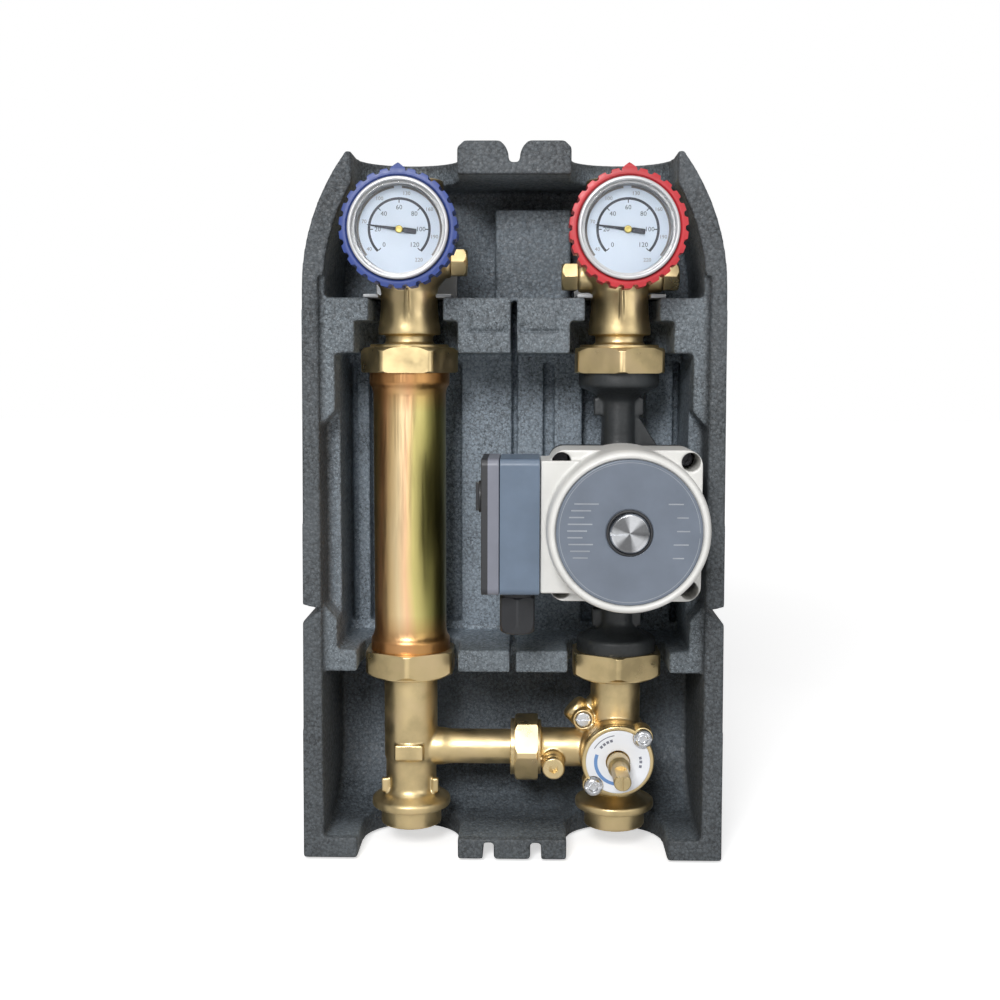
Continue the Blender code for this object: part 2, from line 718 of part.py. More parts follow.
def make_return_tee():
    """The tee under the spacer pipe, with its branch to the mixing valve."""
    carrier = frame_at("tee", (RETURN_X, -AXIS_DEPTH, CROSS_Z))
    tail = []
    for radius, height in tail_profile(-1.0):
        tail.append((radius, CROSS_DROP + height))
    top = CROSS_DROP - TAIL_FACE
    run = turned([(0.0, top)] + tail + lower_end_profile(TAIL_R) + [(0.0, -LOWER_DROP)], SIDES_LARGE)
    face = PIPE_SPACING - CROSS_REACH - TAIL_FACE
    branch_profile = [
        (0.0, 0.0),
        (CROSS_TAIL_R, 0.0),
        (CROSS_TAIL_R, face - FLANGE_THICKNESS),
        (CROSS_THREAD_R - CLEARANCE, face - FLANGE_THICKNESS),
        (CROSS_THREAD_R - CLEARANCE, face),
        (0.0, face),
    ]
    branch = turned(branch_profile, SIDES_SMALL, RIGHT)
    pad_half = TEE_PAD_WIDTH / 2
    pad_rise = TEE_PAD_HEIGHT / 2
    pad = box((-pad_half, -TAIL_R - TEE_PAD_PROUD, -pad_rise), (pad_half, -TAIL_R / 2, pad_rise))
    lugs = []
    lug_low = -LOWER_DROP + SPIGOT_LENGTH + COLLAR_THICKNESS + COLLAR_CONE + CLEARANCE
    for side in (-1.0, 1.0):
        angle = math.radians(-90.0 + side * TEE_LUG_ANGLE)
        reach = TAIL_R + TEE_PAD_PROUD
        place = (reach * math.cos(angle), reach * math.sin(angle))
        low = (place[0] - TEE_LUG_WIDTH / 2, place[1] - TEE_LUG_WIDTH / 2, lug_low)
        high = (place[0] + TEE_LUG_WIDTH / 2, place[1] + TEE_LUG_WIDTH / 2, lug_low + TEE_LUG_HEIGHT)
        lugs.append(box(low, high))
    body = join(run, branch, pad, *lugs)
    past = LOWER_DROP + SPIGOT_LENGTH
    run_bore = rod(TAIL_BORE_R, -past, past, SIDES_LARGE)
    branch_bore = rod(CROSS_BORE_R, 0.0, PIPE_SPACING, SIDES_SMALL, RIGHT)
    piece("return_tee", cut(body, run_bore, branch_bore), "brass", carrier)


def valve_body_shape(plug_drop, plug_sides):
    """The brass valve body about the ball's centre, with its stem boss and plug bosses."""
    port = -BALL_RISE
    waist_low = port + NUT_END + CLEARANCE
    waist_high = waist_low + VALVE_WAIST_LENGTH
    bell_high = waist_high + VALVE_BELL_LENGTH
    neck_low = bell_high + VALVE_BELL_R - VALVE_NECK_R
    body_low = -NECK_TOP_DROP + BODY_SLOPE
    seat_bore = SEAT_OUTER_R + CLEARANCE
    seat_shelf = SEAT_BACK + CLEARANCE
    seat_step = SEAT_FOOT - CLEARANCE
    socket_floor = VALVE_TOP - SOCKET_DEPTH
    tail = []
    for radius, height in tail_profile(1.0):
        tail.append((radius, port + height))
    outside = [
        (TAIL_R, waist_low),
        (VALVE_WAIST_R, waist_low),
        (VALVE_WAIST_R, waist_high),
        (VALVE_BELL_R, waist_high),
        (VALVE_BELL_R, bell_high),
        (VALVE_NECK_R, neck_low),
        (VALVE_NECK_R, -NECK_TOP_DROP),
        (VALVE_BODY_R, body_low),
        (VALVE_BODY_R, -body_low),
        (SOCKET_R + SOCKET_WALL, socket_floor),
        (SOCKET_R + SOCKET_WALL, VALVE_TOP),
        (0.0, VALVE_TOP),
    ]
    inside = [
        (0.0, VALVE_TOP + SOCKET_DEPTH),
        (SOCKET_R, VALVE_TOP + SOCKET_DEPTH),
        (SOCKET_R, socket_floor),
        (TAIL_BORE_R, socket_floor),
        (TAIL_BORE_R, seat_shelf),
        (seat_bore, seat_shelf),
        (seat_bore, seat_step),
        (CAVITY_R, seat_step),
        (CAVITY_R, -seat_step),
        (seat_bore, -seat_step),
        (seat_bore, -seat_shelf),
        (TAIL_BORE_R, -seat_shelf),
        (TAIL_BORE_R, port - SOCKET_DEPTH),
        (0.0, port - SOCKET_DEPTH),
    ]
    body = turned([(0.0, port + TAIL_FACE)] + tail + outside, SIDES_LARGE)
    additions = [rod(STEM_BOSS_R, 0.0, STEM_BOSS_REACH, SIDES_SMALL, FORWARD)]
    flange_front = BALL_R + 2 * CLEARANCE + STEM_FLANGE_THICKNESS
    hollows = [
        turned(inside, SIDES_HIDDEN),
        rod(STEM_FLANGE_R + CLEARANCE, 0.0, flange_front + CLEARANCE, SIDES_SMALL, FORWARD),
        rod(STEM_R + CLEARANCE, 0.0, STEM_BOSS_REACH + STEM_R, SIDES_SMALL, FORWARD),
    ]
    hole_start = PLUG_FACE - PLUG_STUB_LENGTH - CLEARANCE
    for side in plug_sides:
        turn = Matrix.Rotation(0.0 if side > 0 else math.pi, 4, "Z") @ RIGHT
        place = (0.0, 0.0, -plug_drop)
        additions.append(rod(PLUG_BOSS_R, TAIL_BORE_R / 2, PLUG_FACE, SIDES_SMALL, turn, place))
        hole_end = PLUG_FACE + PLUG_STUB_R
        hollows.append(rod(PLUG_STUB_R + CLEARANCE, hole_start, hole_end, SIDES_SMALL, turn, place))
    body = join(body, *additions)
    return cut(body, *hollows)


def plug_shape(side, drop):
    """A hexagon plug whose stub screws into a side boss."""
    turn = Matrix.Rotation(0.0 if side > 0 else math.pi, 4, "Z") @ RIGHT
    place = (0.0, 0.0, -drop)
    back = PLUG_FACE + CLEARANCE
    front = back + PLUG_HEAD_LENGTH
    corner = PLUG_FLATS / math.sqrt(3.0)
    chamfer = corner - PLUG_FLATS / 2
    head = hexagon(PLUG_FLATS, back, front, turn, place, HEXAGON_EDGE_FIRST)
    envelope = [
        (0.0, back - CLEARANCE),
        (corner, back - CLEARANCE),
        (corner, front - chamfer),
        (PLUG_FLATS / 2, front),
        (0.0, front),
    ]
    head = cross(head, turned(envelope, SIDES_SMALL, turn, place))
    stub = rod(PLUG_STUB_R, PLUG_FACE - PLUG_STUB_LENGTH, (back + front) / 2, SIDES_SMALL, turn, place)
    return join(head, stub)


def seat_shape(side):
    """One sealing ring; its cone stays a clearance off the ball."""
    profile = [
        (SEAT_INNER_R, side * SEAT_TOP),
        (SEAT_OUTER_R, side * SEAT_FOOT),
        (SEAT_OUTER_R, side * SEAT_BACK),
        (SEAT_INNER_R, side * SEAT_BACK),
    ]
    return turned(profile, SIDES_HIDDEN)


def ball_shape():
    """The ball with its through bore and the slot that the stem's tang turns."""
    profile = []
    for radius, height in arc((0.0, 0.0), BALL_R, -90.0, 90.0, SIDES_HIDDEN // 2):
        profile.append((max(radius, 0.0), height))
    ball = turned(profile, SIDES_HIDDEN)
    bore = rod(TAIL_BORE_R, -2 * BALL_R, 2 * BALL_R, SIDES_SMALL)
    slot_half = TANG_THICKNESS / 2 + CLEARANCE
    slot = box((-slot_half, -2 * BALL_R, -2 * BALL_R), (slot_half, -BALL_R + TANG_DEPTH, 2 * BALL_R))
    return cut(ball, bore, slot)


def stem_shape():
    """The stem from its tang in the ball to its square end in the handle."""
    flange_back = BALL_R + 2 * CLEARANCE
    flange_front = flange_back + STEM_FLANGE_THICKNESS
    profile = [
        (0.0, flange_back),
        (STEM_FLANGE_R, flange_back),
        (STEM_FLANGE_R, flange_front),
        (STEM_R, flange_front),
        (STEM_R, HANDLE_BACK),
        (0.0, HANDLE_BACK),
    ]
    shaft = turned(profile, SIDES_SMALL, FORWARD)
    half = STEM_SQUARE / 2
    square_end = HANDLE_BACK + STEM_SQUARE_LENGTH
    square = box((-half, -square_end, -half), (half, -HANDLE_BACK + CLEARANCE / 2, half))
    tang_half = TANG_THICKNESS / 2
    tang_reach = STEM_FLANGE_R - CLEARANCE
    tang_back = BALL_R - TANG_DEPTH + CLEARANCE
    tang = box((-tang_half, -flange_front, -tang_reach), (tang_half, -tang_back, tang_reach))
    pocket_end = CASE_BACK_Y - CASE_STUB_LENGTH - CLEARANCE
    pocket = rod(CASE_STUB_R + CLEARANCE, pocket_end, CASE_BACK_Y, SIDES_SMALL, FORWARD)
    return cut(join(shaft, square, tang), pocket)


def handle_shape():
    """The toothed grip ring on its plate and hub, with a pointed tooth at the top."""
    outline = []
    pitch = 360.0 / HANDLE_TEETH
    for index in range(HANDLE_TEETH):
        middle = 90.0 + index * pitch
        tip = HANDLE_R
        for share, radius in ((-0.5, tip - TOOTH_DEPTH), (-TOOTH_SHARE, tip), (TOOTH_SHARE, tip)):
            angle = math.radians(middle + share * pitch)
            outline.append((radius * math.cos(angle), radius * math.sin(angle)))
    front = PLATE_BACK + HANDLE_DEPTH
    ring = prism(outline, -front, -PLATE_BACK)
    nose_half = HANDLE_POINTER
    nose_base = HANDLE_R - 2 * TOOTH_DEPTH
    nose_outline = [(-nose_half, nose_base), (nose_half, nose_base), (0.0, HANDLE_R + HANDLE_POINTER)]
    nose = prism(nose_outline, -front + CLEARANCE, -PLATE_BACK - CLEARANCE)
    hub_r = STEM_SQUARE / math.sqrt(2.0) + HUB_WALL
    hub = rod(hub_r, HANDLE_BACK, PLATE_BACK + HANDLE_PLATE / 2, SIDES_SMALL, FORWARD)
    plate_front = PLATE_BACK + HANDLE_PLATE
    cup = rod(CASE_R + CLEARANCE, plate_front, front + HANDLE_DEPTH, SIDES_LARGE, FORWARD)
    half = STEM_SQUARE / 2 + CLEARANCE
    square_end = HANDLE_BACK + STEM_SQUARE_LENGTH + CLEARANCE
    socket = box((-half, -square_end, -half), (half, -HANDLE_BACK + HUB_LENGTH, half))
    stub = rod(CASE_STUB_R + CLEARANCE, HANDLE_BACK, plate_front + HANDLE_PLATE, SIDES_SMALL, FORWARD)
    return cut(join(ring, nose, hub), cup, socket, stub)


def case_shape():
    """The thermometer's cup with its bezel, the two inner ledges and the sensing stub at the back."""
    floor = CASE_BACK_Y + CASE_BACK
    round_edge = BEZEL_WIDTH / 3
    profile = [
        (0.0, CASE_BACK_Y - CASE_STUB_LENGTH),
        (CASE_STUB_R, CASE_BACK_Y - CASE_STUB_LENGTH),
        (CASE_STUB_R, CASE_BACK_Y),
        (CASE_R, CASE_BACK_Y),
        (CASE_R, CASE_FRONT_Y - round_edge),
        (CASE_R - round_edge, CASE_FRONT_Y),
        (CASE_RIM_R, CASE_FRONT_Y),
        (CASE_RIM_R, LENS_SEAT_Y),
        (CASE_BORE_R, LENS_SEAT_Y),
        (CASE_BORE_R, DIAL_SEAT_Y),
        (CASE_BORE_R - DIAL_LEDGE, DIAL_SEAT_Y),
        (CASE_BORE_R - DIAL_LEDGE, floor),
        (0.0, floor),
    ]
    return turned(profile, SIDES_LARGE, FORWARD)


def pointer_shape():
    """The needle with its tail, hub and pin, drawn at its rest angle."""
    back = DIAL_SEAT_Y + CLEARANCE + DIAL_THICKNESS + CLEARANCE
    front = back + POINTER_THICKNESS
    half = POINTER_WIDTH / 2
    outline = []
    angle = math.radians(POINTER_REST_ANGLE)
    corners = [
        (-half, -POINTER_TAIL),
        (-half, 0.0),
        (0.0, POINTER_LENGTH),
        (half, 0.0),
        (half, -POINTER_TAIL),
    ]
    for across, reach in corners:
        x = reach * math.cos(angle) - across * math.sin(angle)
        z = reach * math.sin(angle) + across * math.cos(angle)
        outline.append((x, z))
    needle = prism(outline, -front, -back)
    hub = turned(
        [
            (0.0, DIAL_SEAT_Y - POINTER_THICKNESS),
            (POINTER_PIN_R, DIAL_SEAT_Y - POINTER_THICKNESS),
            (POINTER_PIN_R, back - CLEARANCE / 2),
            (POINTER_HUB_R, back - CLEARANCE / 2),
            (POINTER_HUB_R, front + POINTER_THICKNESS),
            (0.0, front + POINTER_THICKNESS),
        ],
        SIDES_SMALL,
        FORWARD,
    )
    return join(needle, hub)


def make_valve(side, x, handle_finish, plug_drop, plugs):
    """One thermometer ball valve; plugs maps a piece name to the side its boss points to."""
    place = (x, -AXIS_DEPTH, BALL_Z)
    fixed = frame_at(f"{side}_valve", place)
    turning = frame_at(f"{side}_handle_axis", place)
    swinging = frame_at(f"{side}_pointer_axis", (0.0, 0.0, 0.0), turning)
    piece(f"{side}_valve_body", valve_body_shape(plug_drop, list(plugs.values())), "brass", fixed)
    piece(f"{side}_valve_seat_lower", seat_shape(-1.0), "seat", fixed)
    piece(f"{side}_valve_seat_upper", seat_shape(1.0), "seat", fixed)
    for name, direction in plugs.items():
        piece(name, plug_shape(direction, plug_drop), "brass", fixed)
    piece(f"{side}_valve_ball", ball_shape(), "chrome", turning)
    piece(f"{side}_valve_stem", stem_shape(), "brass", turning)
    piece(f"{side}_handle", handle_shape(), handle_finish, turning)
    piece(f"{side}_thermometer_case", case_shape(), "bezel", turning)
    dial_back = DIAL_SEAT_Y + CLEARANCE
    dial_front = dial_back + DIAL_THICKNESS
    dial_r = CASE_BORE_R - CLEARANCE
    dial = pipe(POINTER_PIN_R + CLEARANCE, dial_r, dial_back, dial_front, SIDES_LARGE, FORWARD)
    piece(f"{side}_thermometer_dial", dial, "dial", turning)
    lens_back = LENS_SEAT_Y + CLEARANCE
    lens = rod(CASE_RIM_R - CLEARANCE, lens_back, lens_back + LENS_THICKNESS, SIDES_LARGE, FORWARD)
    piece(f"{side}_thermometer_lens", lens, "glass", turning)
    piece(f"{side}_thermometer_pointer", pointer_shape(), "black", swinging)


def mix_screw_places():
    """Where the two cover screws sit, as (x, z): upper right and lower left of the spindle."""
    offset = MIX_SCREW_RING / math.sqrt(2.0)
    return {"upper": (offset, offset), "lower": (-offset, -offset)}


def mixing_body_shape():
    """The three-way body: run, barrel, left port, screw ears, bypass boss and side boss."""
    tail = []
    for radius, height in tail_profile(-1.0):
        tail.append((radius, CROSS_DROP + height))
    tail_end = CROSS_DROP - NUT_END - CLEARANCE
    upper = [
        (TAIL_R, tail_end),
        (MIX_NECK_R, tail_end - TAIL_R + MIX_NECK_R),
        (MIX_NECK_R, 0.0),
        (MIX_LOWER_NECK_R, 0.0),
    ]
    lower = lower_end_profile(MIX_LOWER_NECK_R)
    top = CROSS_DROP - TAIL_FACE
    run = turned([(0.0, top)] + tail + upper + lower + [(0.0, -LOWER_DROP)], SIDES_LARGE)
    barrel = rod(BARREL_R, -BARREL_BACK, BARREL_FRONT, SIDES_LARGE, FORWARD)
    thread_start = CROSS_REACH - CROSS_THREAD_LENGTH
    port_profile = [
        (0.0, 0.0),
        (CROSS_PORT_R, 0.0),
        (CROSS_PORT_R, thread_start),
        (CROSS_THREAD_R, thread_start),
        (CROSS_THREAD_R, CROSS_REACH),
        (0.0, CROSS_REACH),
    ]
    left = Matrix.Rotation(math.pi, 4, "Z") @ RIGHT
    additions = [barrel, turned(port_profile, SIDES_SMALL, left)]
    hollows = [
        rod(MIX_BORE_R, -2 * LOWER_DROP, 2 * CROSS_DROP, SIDES_SMALL),
        rod(CHAMBER_R, -BARREL_BACK + BARREL_WALL, BARREL_FRONT + BARREL_WALL, SIDES_LARGE, FORWARD),
        rod(CROSS_BORE_R, 0.0, 2 * CROSS_REACH, SIDES_SMALL, left),
    ]
    hole_end = BARREL_FRONT - MIX_SCREW_LENGTH + COVER_THICKNESS
    for x, z in mix_screw_places().values():
        place = (x, 0.0, z)
        ear_back = hole_end - MIX_SCREW_EDGE
        hole_back = hole_end - CLEARANCE
        hole_front = BARREL_FRONT + MIX_SCREW_R
        additions.append(rod(MIX_EAR_R, ear_back, BARREL_FRONT - CLEARANCE, SIDES_SMALL, FORWARD, place))
        hollows.append(rod(MIX_SCREW_R + CLEARANCE, hole_back, hole_front, SIDES_SMALL, FORWARD, place))
    diagonal = along((-1.0, 0.0, 1.0))
    additions.append(rod(BYPASS_BOSS_R, 0.0, BYPASS_BOSS_REACH, SIDES_SMALL, diagonal))
    x, z = bypass_place()
    spot = (x, 0.0, z)
    additions.append(rod(BYPASS_SCREW_R + BYPASS_WALL, 0.0, BYPASS_FACE, SIDES_SMALL, FORWARD, spot))
    sink = BYPASS_FACE - BYPASS_SCREW_SINK
    hollows.append(rod(BYPASS_SCREW_R + CLEARANCE, sink, 2 * BYPASS_FACE, SIDES_SMALL, FORWARD, spot))
    link_end = (0.0, 0.0, tail_end)
    link_turn = along(Vector(link_end) - Vector(spot))
    link_length = (Vector(link_end) - Vector(spot)).length
    additions.append(rod(BYPASS_LINK_R, 0.0, link_length, SIDES_SMALL, link_turn, spot))
    side_place = (-SIDE_BOSS_X, 0.0, -SIDE_BOSS_DROP)
    additions.append(rod(SIDE_BOSS_R, 0.0, SIDE_BOSS_REACH, SIDES_SMALL, FORWARD, side_place))
    hole_r = SIDE_PLUG_R + CLEARANCE
    hole_back = SIDE_BOSS_REACH - SIDE_PLUG_STUB
    hollows.append(rod(hole_r, hole_back, 2 * SIDE_BOSS_REACH, SIDES_SMALL, FORWARD, side_place))
    body = join(run, *additions)
    return cut(body, *hollows)


def bypass_place():
    """The middle of the bypass screw, as (x, z), on the diagonal boss."""
    step = BYPASS_SCREW_DISTANCE / math.sqrt(2.0)
    return -step, step


def cover_shape():
    """The plate that closes the barrel, with an ear under each screw."""
    places = mix_screw_places()
    plate = rod(BARREL_R, COVER_BACK, COVER_FRONT, SIDES_LARGE, FORWARD)
    ears = []
    holes = [rod(SPINDLE_R + CLEARANCE, 0.0, 2 * COVER_FRONT, SIDES_SMALL, FORWARD)]
    for x, z in places.values():
        place = (x, 0.0, z)
        ear_back = COVER_BACK + CLEARANCE
        ears.append(rod(MIX_EAR_R, ear_back, COVER_FRONT - CLEARANCE, SIDES_SMALL, FORWARD, place))
        holes.append(rod(MIX_SCREW_R + CLEARANCE, 0.0, 2 * COVER_FRONT, SIDES_SMALL, FORWARD, place))
    return cut(join(plate, *ears), *holes)


def scale_shape():
    """The white scale disc, let in round the two screw heads."""
    disc = pipe(SPINDLE_R + 2 * CLEARANCE, SCALE_R, SCALE_BACK, SCALE_FRONT, SIDES_LARGE, FORWARD)
    notches = []
    for x, z in mix_screw_places().values():
        place = (x, 0.0, z)
        notches.append(rod(MIX_SCREW_HEAD_R + CLEARANCE, 0.0, 2 * SCALE_FRONT, SIDES_SMALL, FORWARD, place))
    return cut(disc, *notches)


def mixing_rotor_shape():
    """The turning segment in the barrel: a half cylinder about a hub that holds the spindle."""
    back = -BARREL_BACK + BARREL_WALL + CLEARANCE
    front = BARREL_FRONT - CLEARANCE
    radius = CHAMBER_R - CLEARANCE
    segment = cut(
        rod(radius, back, front, SIDES_HIDDEN, FORWARD),
        box((-2 * radius, -2 * front, -2 * radius), (2 * radius, 2 * BARREL_BACK, ROTOR_EDGE)),
    )
    hub = rod(SPINDLE_R + ROTOR_HUB_WALL, back + CLEARANCE, front - CLEARANCE, SIDES_SMALL, FORWARD)
    socket = rod(SPINDLE_R + CLEARANCE, front - SPINDLE_SOCKET, 2 * front, SIDES_SMALL, FORWARD)
    return cut(join(segment, hub), socket)


def spindle_shape():
    """The brass spindle, from the rotor's socket through the cover to its flatted end."""
    inner = BARREL_FRONT - SPINDLE_SOCKET + CLEARANCE
    hub_back = SCALE_FRONT + CLEARANCE
    hub_front = hub_back + SPINDLE_HUB_LENGTH
    end = SCALE_FRONT + SPINDLE_REACH
    chamfer = SPINDLE_HUB_R - SPINDLE_R
    profile = [
        (0.0, inner),
        (SPINDLE_R, inner),
        (SPINDLE_R, hub_back),
        (SPINDLE_HUB_R, hub_back),
        (SPINDLE_HUB_R, hub_front),
        (SPINDLE_R, hub_front + chamfer),
        (SPINDLE_R, end - chamfer),
        (SPINDLE_R - chamfer, end),
        (0.0, end),
    ]
    shaft = turned(profile, SIDES_SMALL, FORWARD)
    flat_start = hub_front + 2 * chamfer
    wide = 2 * SPINDLE_R
    flat = box((-wide, -2 * end, SPINDLE_R - SPINDLE_FLAT), (wide, -flat_start, wide))
    return cut(shaft, flat)


def mix_screw_shape(x, z):
    """A cap screw with a cross-cut head that holds the cover."""
    head_back = COVER_FRONT + CLEARANCE
    head_front = head_back + MIX_SCREW_HEAD
    tip = BARREL_FRONT - MIX_SCREW_LENGTH + COVER_THICKNESS
    edge = MIX_SCREW_HEAD / 4
    profile = [
        (0.0, tip),
        (MIX_SCREW_R, tip),
        (MIX_SCREW_R, head_back),
        (MIX_SCREW_HEAD_R, head_back),
        (MIX_SCREW_HEAD_R, head_front - edge),
        (MIX_SCREW_HEAD_R - edge, head_front),
        (0.0, head_front),
    ]
    shape = turned(profile, SIDES_SMALL, FORWARD, (x, 0.0, z))
    socket = hexagon(MIX_SCREW_R * 2, head_front - 2 * edge, 2 * head_front, FORWARD, (x, 0.0, z))
    return cut(shape, socket)


def slotted_screw(radius, back, front, slot):
    """A headless screw about its own axis, with one slot across its face."""
    shape = rod(radius, back, front, SIDES_SMALL, FORWARD)
    groove = box((-2 * radius, -2 * front, -slot / 2), (2 * radius, -front + slot, slot / 2))
    return cut(shape, groove)


def side_plug_shape():
    """The round plug in the side boss, with a hexagon socket."""
    back = SIDE_BOSS_REACH + CLEARANCE
    front = back + SIDE_PLUG_HEAD
    edge = SIDE_PLUG_HEAD / 6
    profile = [
        (0.0, SIDE_BOSS_REACH - SIDE_PLUG_STUB + CLEARANCE),
        (SIDE_PLUG_R, SIDE_BOSS_REACH - SIDE_PLUG_STUB + CLEARANCE),
        (SIDE_PLUG_R, back),
        (SIDE_BOSS_R, back),
        (SIDE_BOSS_R, front - edge),
        (SIDE_BOSS_R - edge, front),
        (0.0, front),
    ]
    place = (-SIDE_BOSS_X, 0.0, -SIDE_BOSS_DROP)
    shape = turned(profile, SIDES_SMALL, FORWARD, place)
    socket = hexagon(SIDE_PLUG_SOCKET_FLATS, front - SIDE_PLUG_HEAD / 2, 2 * front, FORWARD, place)
    return cut(shape, socket)


def make_mixing_valve():
    place = (FLOW_X, -AXIS_DEPTH, CROSS_Z)
    fixed = frame_at("mixing_valve", place)
    turning = frame_at("mixing_spindle_axis", place)
    piece("mixing_valve_body", mixing_body_shape(), "brass", fixed)
    piece("mixing_cover", cover_shape(), "brass", fixed)
    piece("mixing_scale_plate", scale_shape(), "scale", fixed)
    for level, (x, z) in mix_screw_places().items():
        piece(f"mixing_screw_{level}", mix_screw_shape(x, z), "zinc", fixed)
    piece("bypass_plug", side_plug_shape(), "brass", fixed)
    piece("mixing_rotor", mixing_rotor_shape(), "steel", turning)
    piece("mixing_spindle", spindle_shape(), "brass", turning)
    x, z = bypass_place()
    screw_axis = frame_at("bypass_screw_axis", (x, 0.0, z), fixed)
    back = BYPASS_FACE - BYPASS_SCREW_SINK + CLEARANCE
    piece("bypass_screw", slotted_screw(BYPASS_SCREW_R, back, BYPASS_FACE, BYPASS_SLOT), "steel", screw_axis)


def square_plate(low, high):
    """The rounded square that both halves of the pump flange share."""
    outline = rounded_rectangle((-FLANGE_HALF, -FLANGE_HALF), (FLANGE_HALF, FLANGE_HALF), FLANGE_CORNER_R)
    return prism(outline, -high, -low)


def screw_places():
    places = []
    for x in (-SCREW_SQUARE, SCREW_SQUARE):
        for z in (-SCREW_SQUARE, SCREW_SQUARE):
            places.append((x, 0.0, z))
    return places


def pump_housing_shape():
    """The cast volute with its square flange, two necks, port rings, spanner lugs and web."""
    volute = rod(VOLUTE_R, -VOLUTE_BACK, VOLUTE_FRONT - CLEARANCE, SIDES_LARGE, FORWARD)
    flange = square_plate(VOLUTE_FRONT - PUMP_FLANGE_DEPTH, VOLUTE_FRONT)
    half = PUMP_LENGTH / 2
    ring_start = half - PORT_THREAD_LENGTH
    cone = (PORT_THREAD_R - PUMP_NECK_R) / 2
    additions = [flange]
    floor = -VOLUTE_BACK + VOLUTE_WALL
    hollows = [rod(VOLUTE_R - VOLUTE_WALL, floor, VOLUTE_FRONT + VOLUTE_WALL, SIDES_LARGE, FORWARD)]
    for turn in (UP, Matrix.Rotation(math.pi, 4, "X")):
        neck = [
            (0.0, VOLUTE_R - VOLUTE_WALL / 2),
            (PUMP_NECK_R, VOLUTE_R - VOLUTE_WALL / 2),
            (PUMP_NECK_R, ring_start - cone),
            (PORT_THREAD_R, ring_start),
            (PORT_THREAD_R, half),
            (0.0, half),
        ]
        additions.append(turned(neck, SIDES_LARGE, turn))
        bore = [
            (0.0, 0.0),
            (PUMP_NECK_BORE_R, 0.0),
            (PUMP_NECK_BORE_R, half - PORT_CUP),
            (PORT_BORE_R, half - PORT_CUP),
            (PORT_BORE_R, half + PORT_CUP),
            (0.0, half + PORT_CUP),
        ]
        hollows.append(turned(bore, SIDES_LARGE, turn))
    lug_top = ring_start - cone - CLEARANCE
    lug_low = lug_top - NECK_LUG_HEIGHT
    lug_half = PUMP_NECK_R + NECK_LUG_PROUD
    for low, high in ((lug_low, lug_top), (-lug_top, -lug_low)):
        additions.append(box((-lug_half, -NECK_LUG_WIDTH / 2, low), (lug_half, NECK_LUG_WIDTH / 2, high)))
    web = [
        (0.0, lug_low),
        (PUMP_NECK_R, lug_low),
        (WEB_REACH, VOLUTE_R / 2),
        (0.0, VOLUTE_R - VOLUTE_WALL / 2),
    ]
    additions.append(prism(web, -WEB_THICKNESS / 2, WEB_THICKNESS / 2))
    for place in screw_places():
        hollows.append(rod(SCREW_HOLE_R, 0.0, 2 * VOLUTE_FRONT, SIDES_SMALL, FORWARD, place))
    return cut(join(volute, *additions), *hollows)


def motor_housing_shape():
    """The cream motor cup: round body, square flange with screw pockets and the saddle for the box."""
    profile = [
        (0.0, MOTOR_BACK + SCREW_FLOOR),
        (MOTOR_R, MOTOR_BACK + SCREW_FLOOR),
        (MOTOR_R, MOTOR_FRONT - MOTOR_EDGE),
        (MOTOR_R - MOTOR_EDGE, MOTOR_FRONT),
        (0.0, MOTOR_FRONT),
    ]
    body = turned(profile, SIDES_LARGE, FORWARD)
    flange = square_plate(MOTOR_BACK, MOTOR_BACK + FLANGE_DEPTH)
    saddle_back = BOX_BACK + BOX_WALL
    saddle_front = BOX_BACK + BOX_WIDTH - BOX_WALL
    saddle_low = (-BOX_SADDLE_X, -saddle_front, -BOX_SADDLE_HALF)
    saddle_high = (-MOTOR_BORE_R / 2, -saddle_back, BOX_SADDLE_HALF)
    saddle = box(saddle_low, saddle_high)
    hollows = [
        rod(MOTOR_BORE_R, 0.0, MOTOR_INNER_FRONT, SIDES_LARGE, FORWARD),
        rod(VENT_STUB_R + CLEARANCE, 0.0, 2 * MOTOR_FRONT, SIDES_LARGE, FORWARD),
        rod(LABEL_R + CLEARANCE, LABEL_BACK, 2 * MOTOR_FRONT, SIDES_LARGE, FORWARD),
    ]
    for place in screw_places():
        pocket_floor = MOTOR_BACK + SCREW_FLOOR
        hollows.append(rod(SCREW_POCKET_R, pocket_floor, 2 * MOTOR_FRONT, SIDES_SMALL, FORWARD, place))
        hollows.append(rod(SCREW_HOLE_R, 0.0, pocket_floor + SCREW_FLOOR, SIDES_SMALL, FORWARD, place))
    return cut(join(body, flange, saddle), *hollows)


def impeller_shape():
    """The open impeller: back plate, hub and curved-back blades set at a slant."""
    back = -IMPELLER_BACK
    plate = rod(IMPELLER_R, back, back + IMPELLER_PLATE, SIDES_HIDDEN, FORWARD)
    hub_r = SHAFT_R + IMPELLER_HUB_WALL
    hub = rod(hub_r, back + IMPELLER_PLATE / 2, back + IMPELLER_DEPTH, SIDES_SMALL, FORWARD)
    blades = []
    for index in range(IMPELLER_BLADES):
        angle = 2 * math.pi * index / IMPELLER_BLADES
        start = (hub_r - BLADE_THICKNESS) * Vector((math.cos(angle), math.sin(angle)))
        lean = angle + math.radians(BLADE_LEAN)
        end = (IMPELLER_R - BLADE_THICKNESS) * Vector((math.cos(lean), math.sin(lean)))
        run = (end - start).normalized()
        side = Vector((-run.y, run.x)) * BLADE_THICKNESS / 2
        outline = [tuple(start - side), tuple(end - side), tuple(end + side), tuple(start + side)]
        blades.append(prism(outline, -back - IMPELLER_DEPTH + CLEARANCE, -back - IMPELLER_PLATE / 2))
    bore = rod(SHAFT_R + CLEARANCE, back - IMPELLER_PLATE, back + 2 * IMPELLER_DEPTH, SIDES_SMALL, FORWARD)
    return cut(join(plate, hub, *blades), bore)


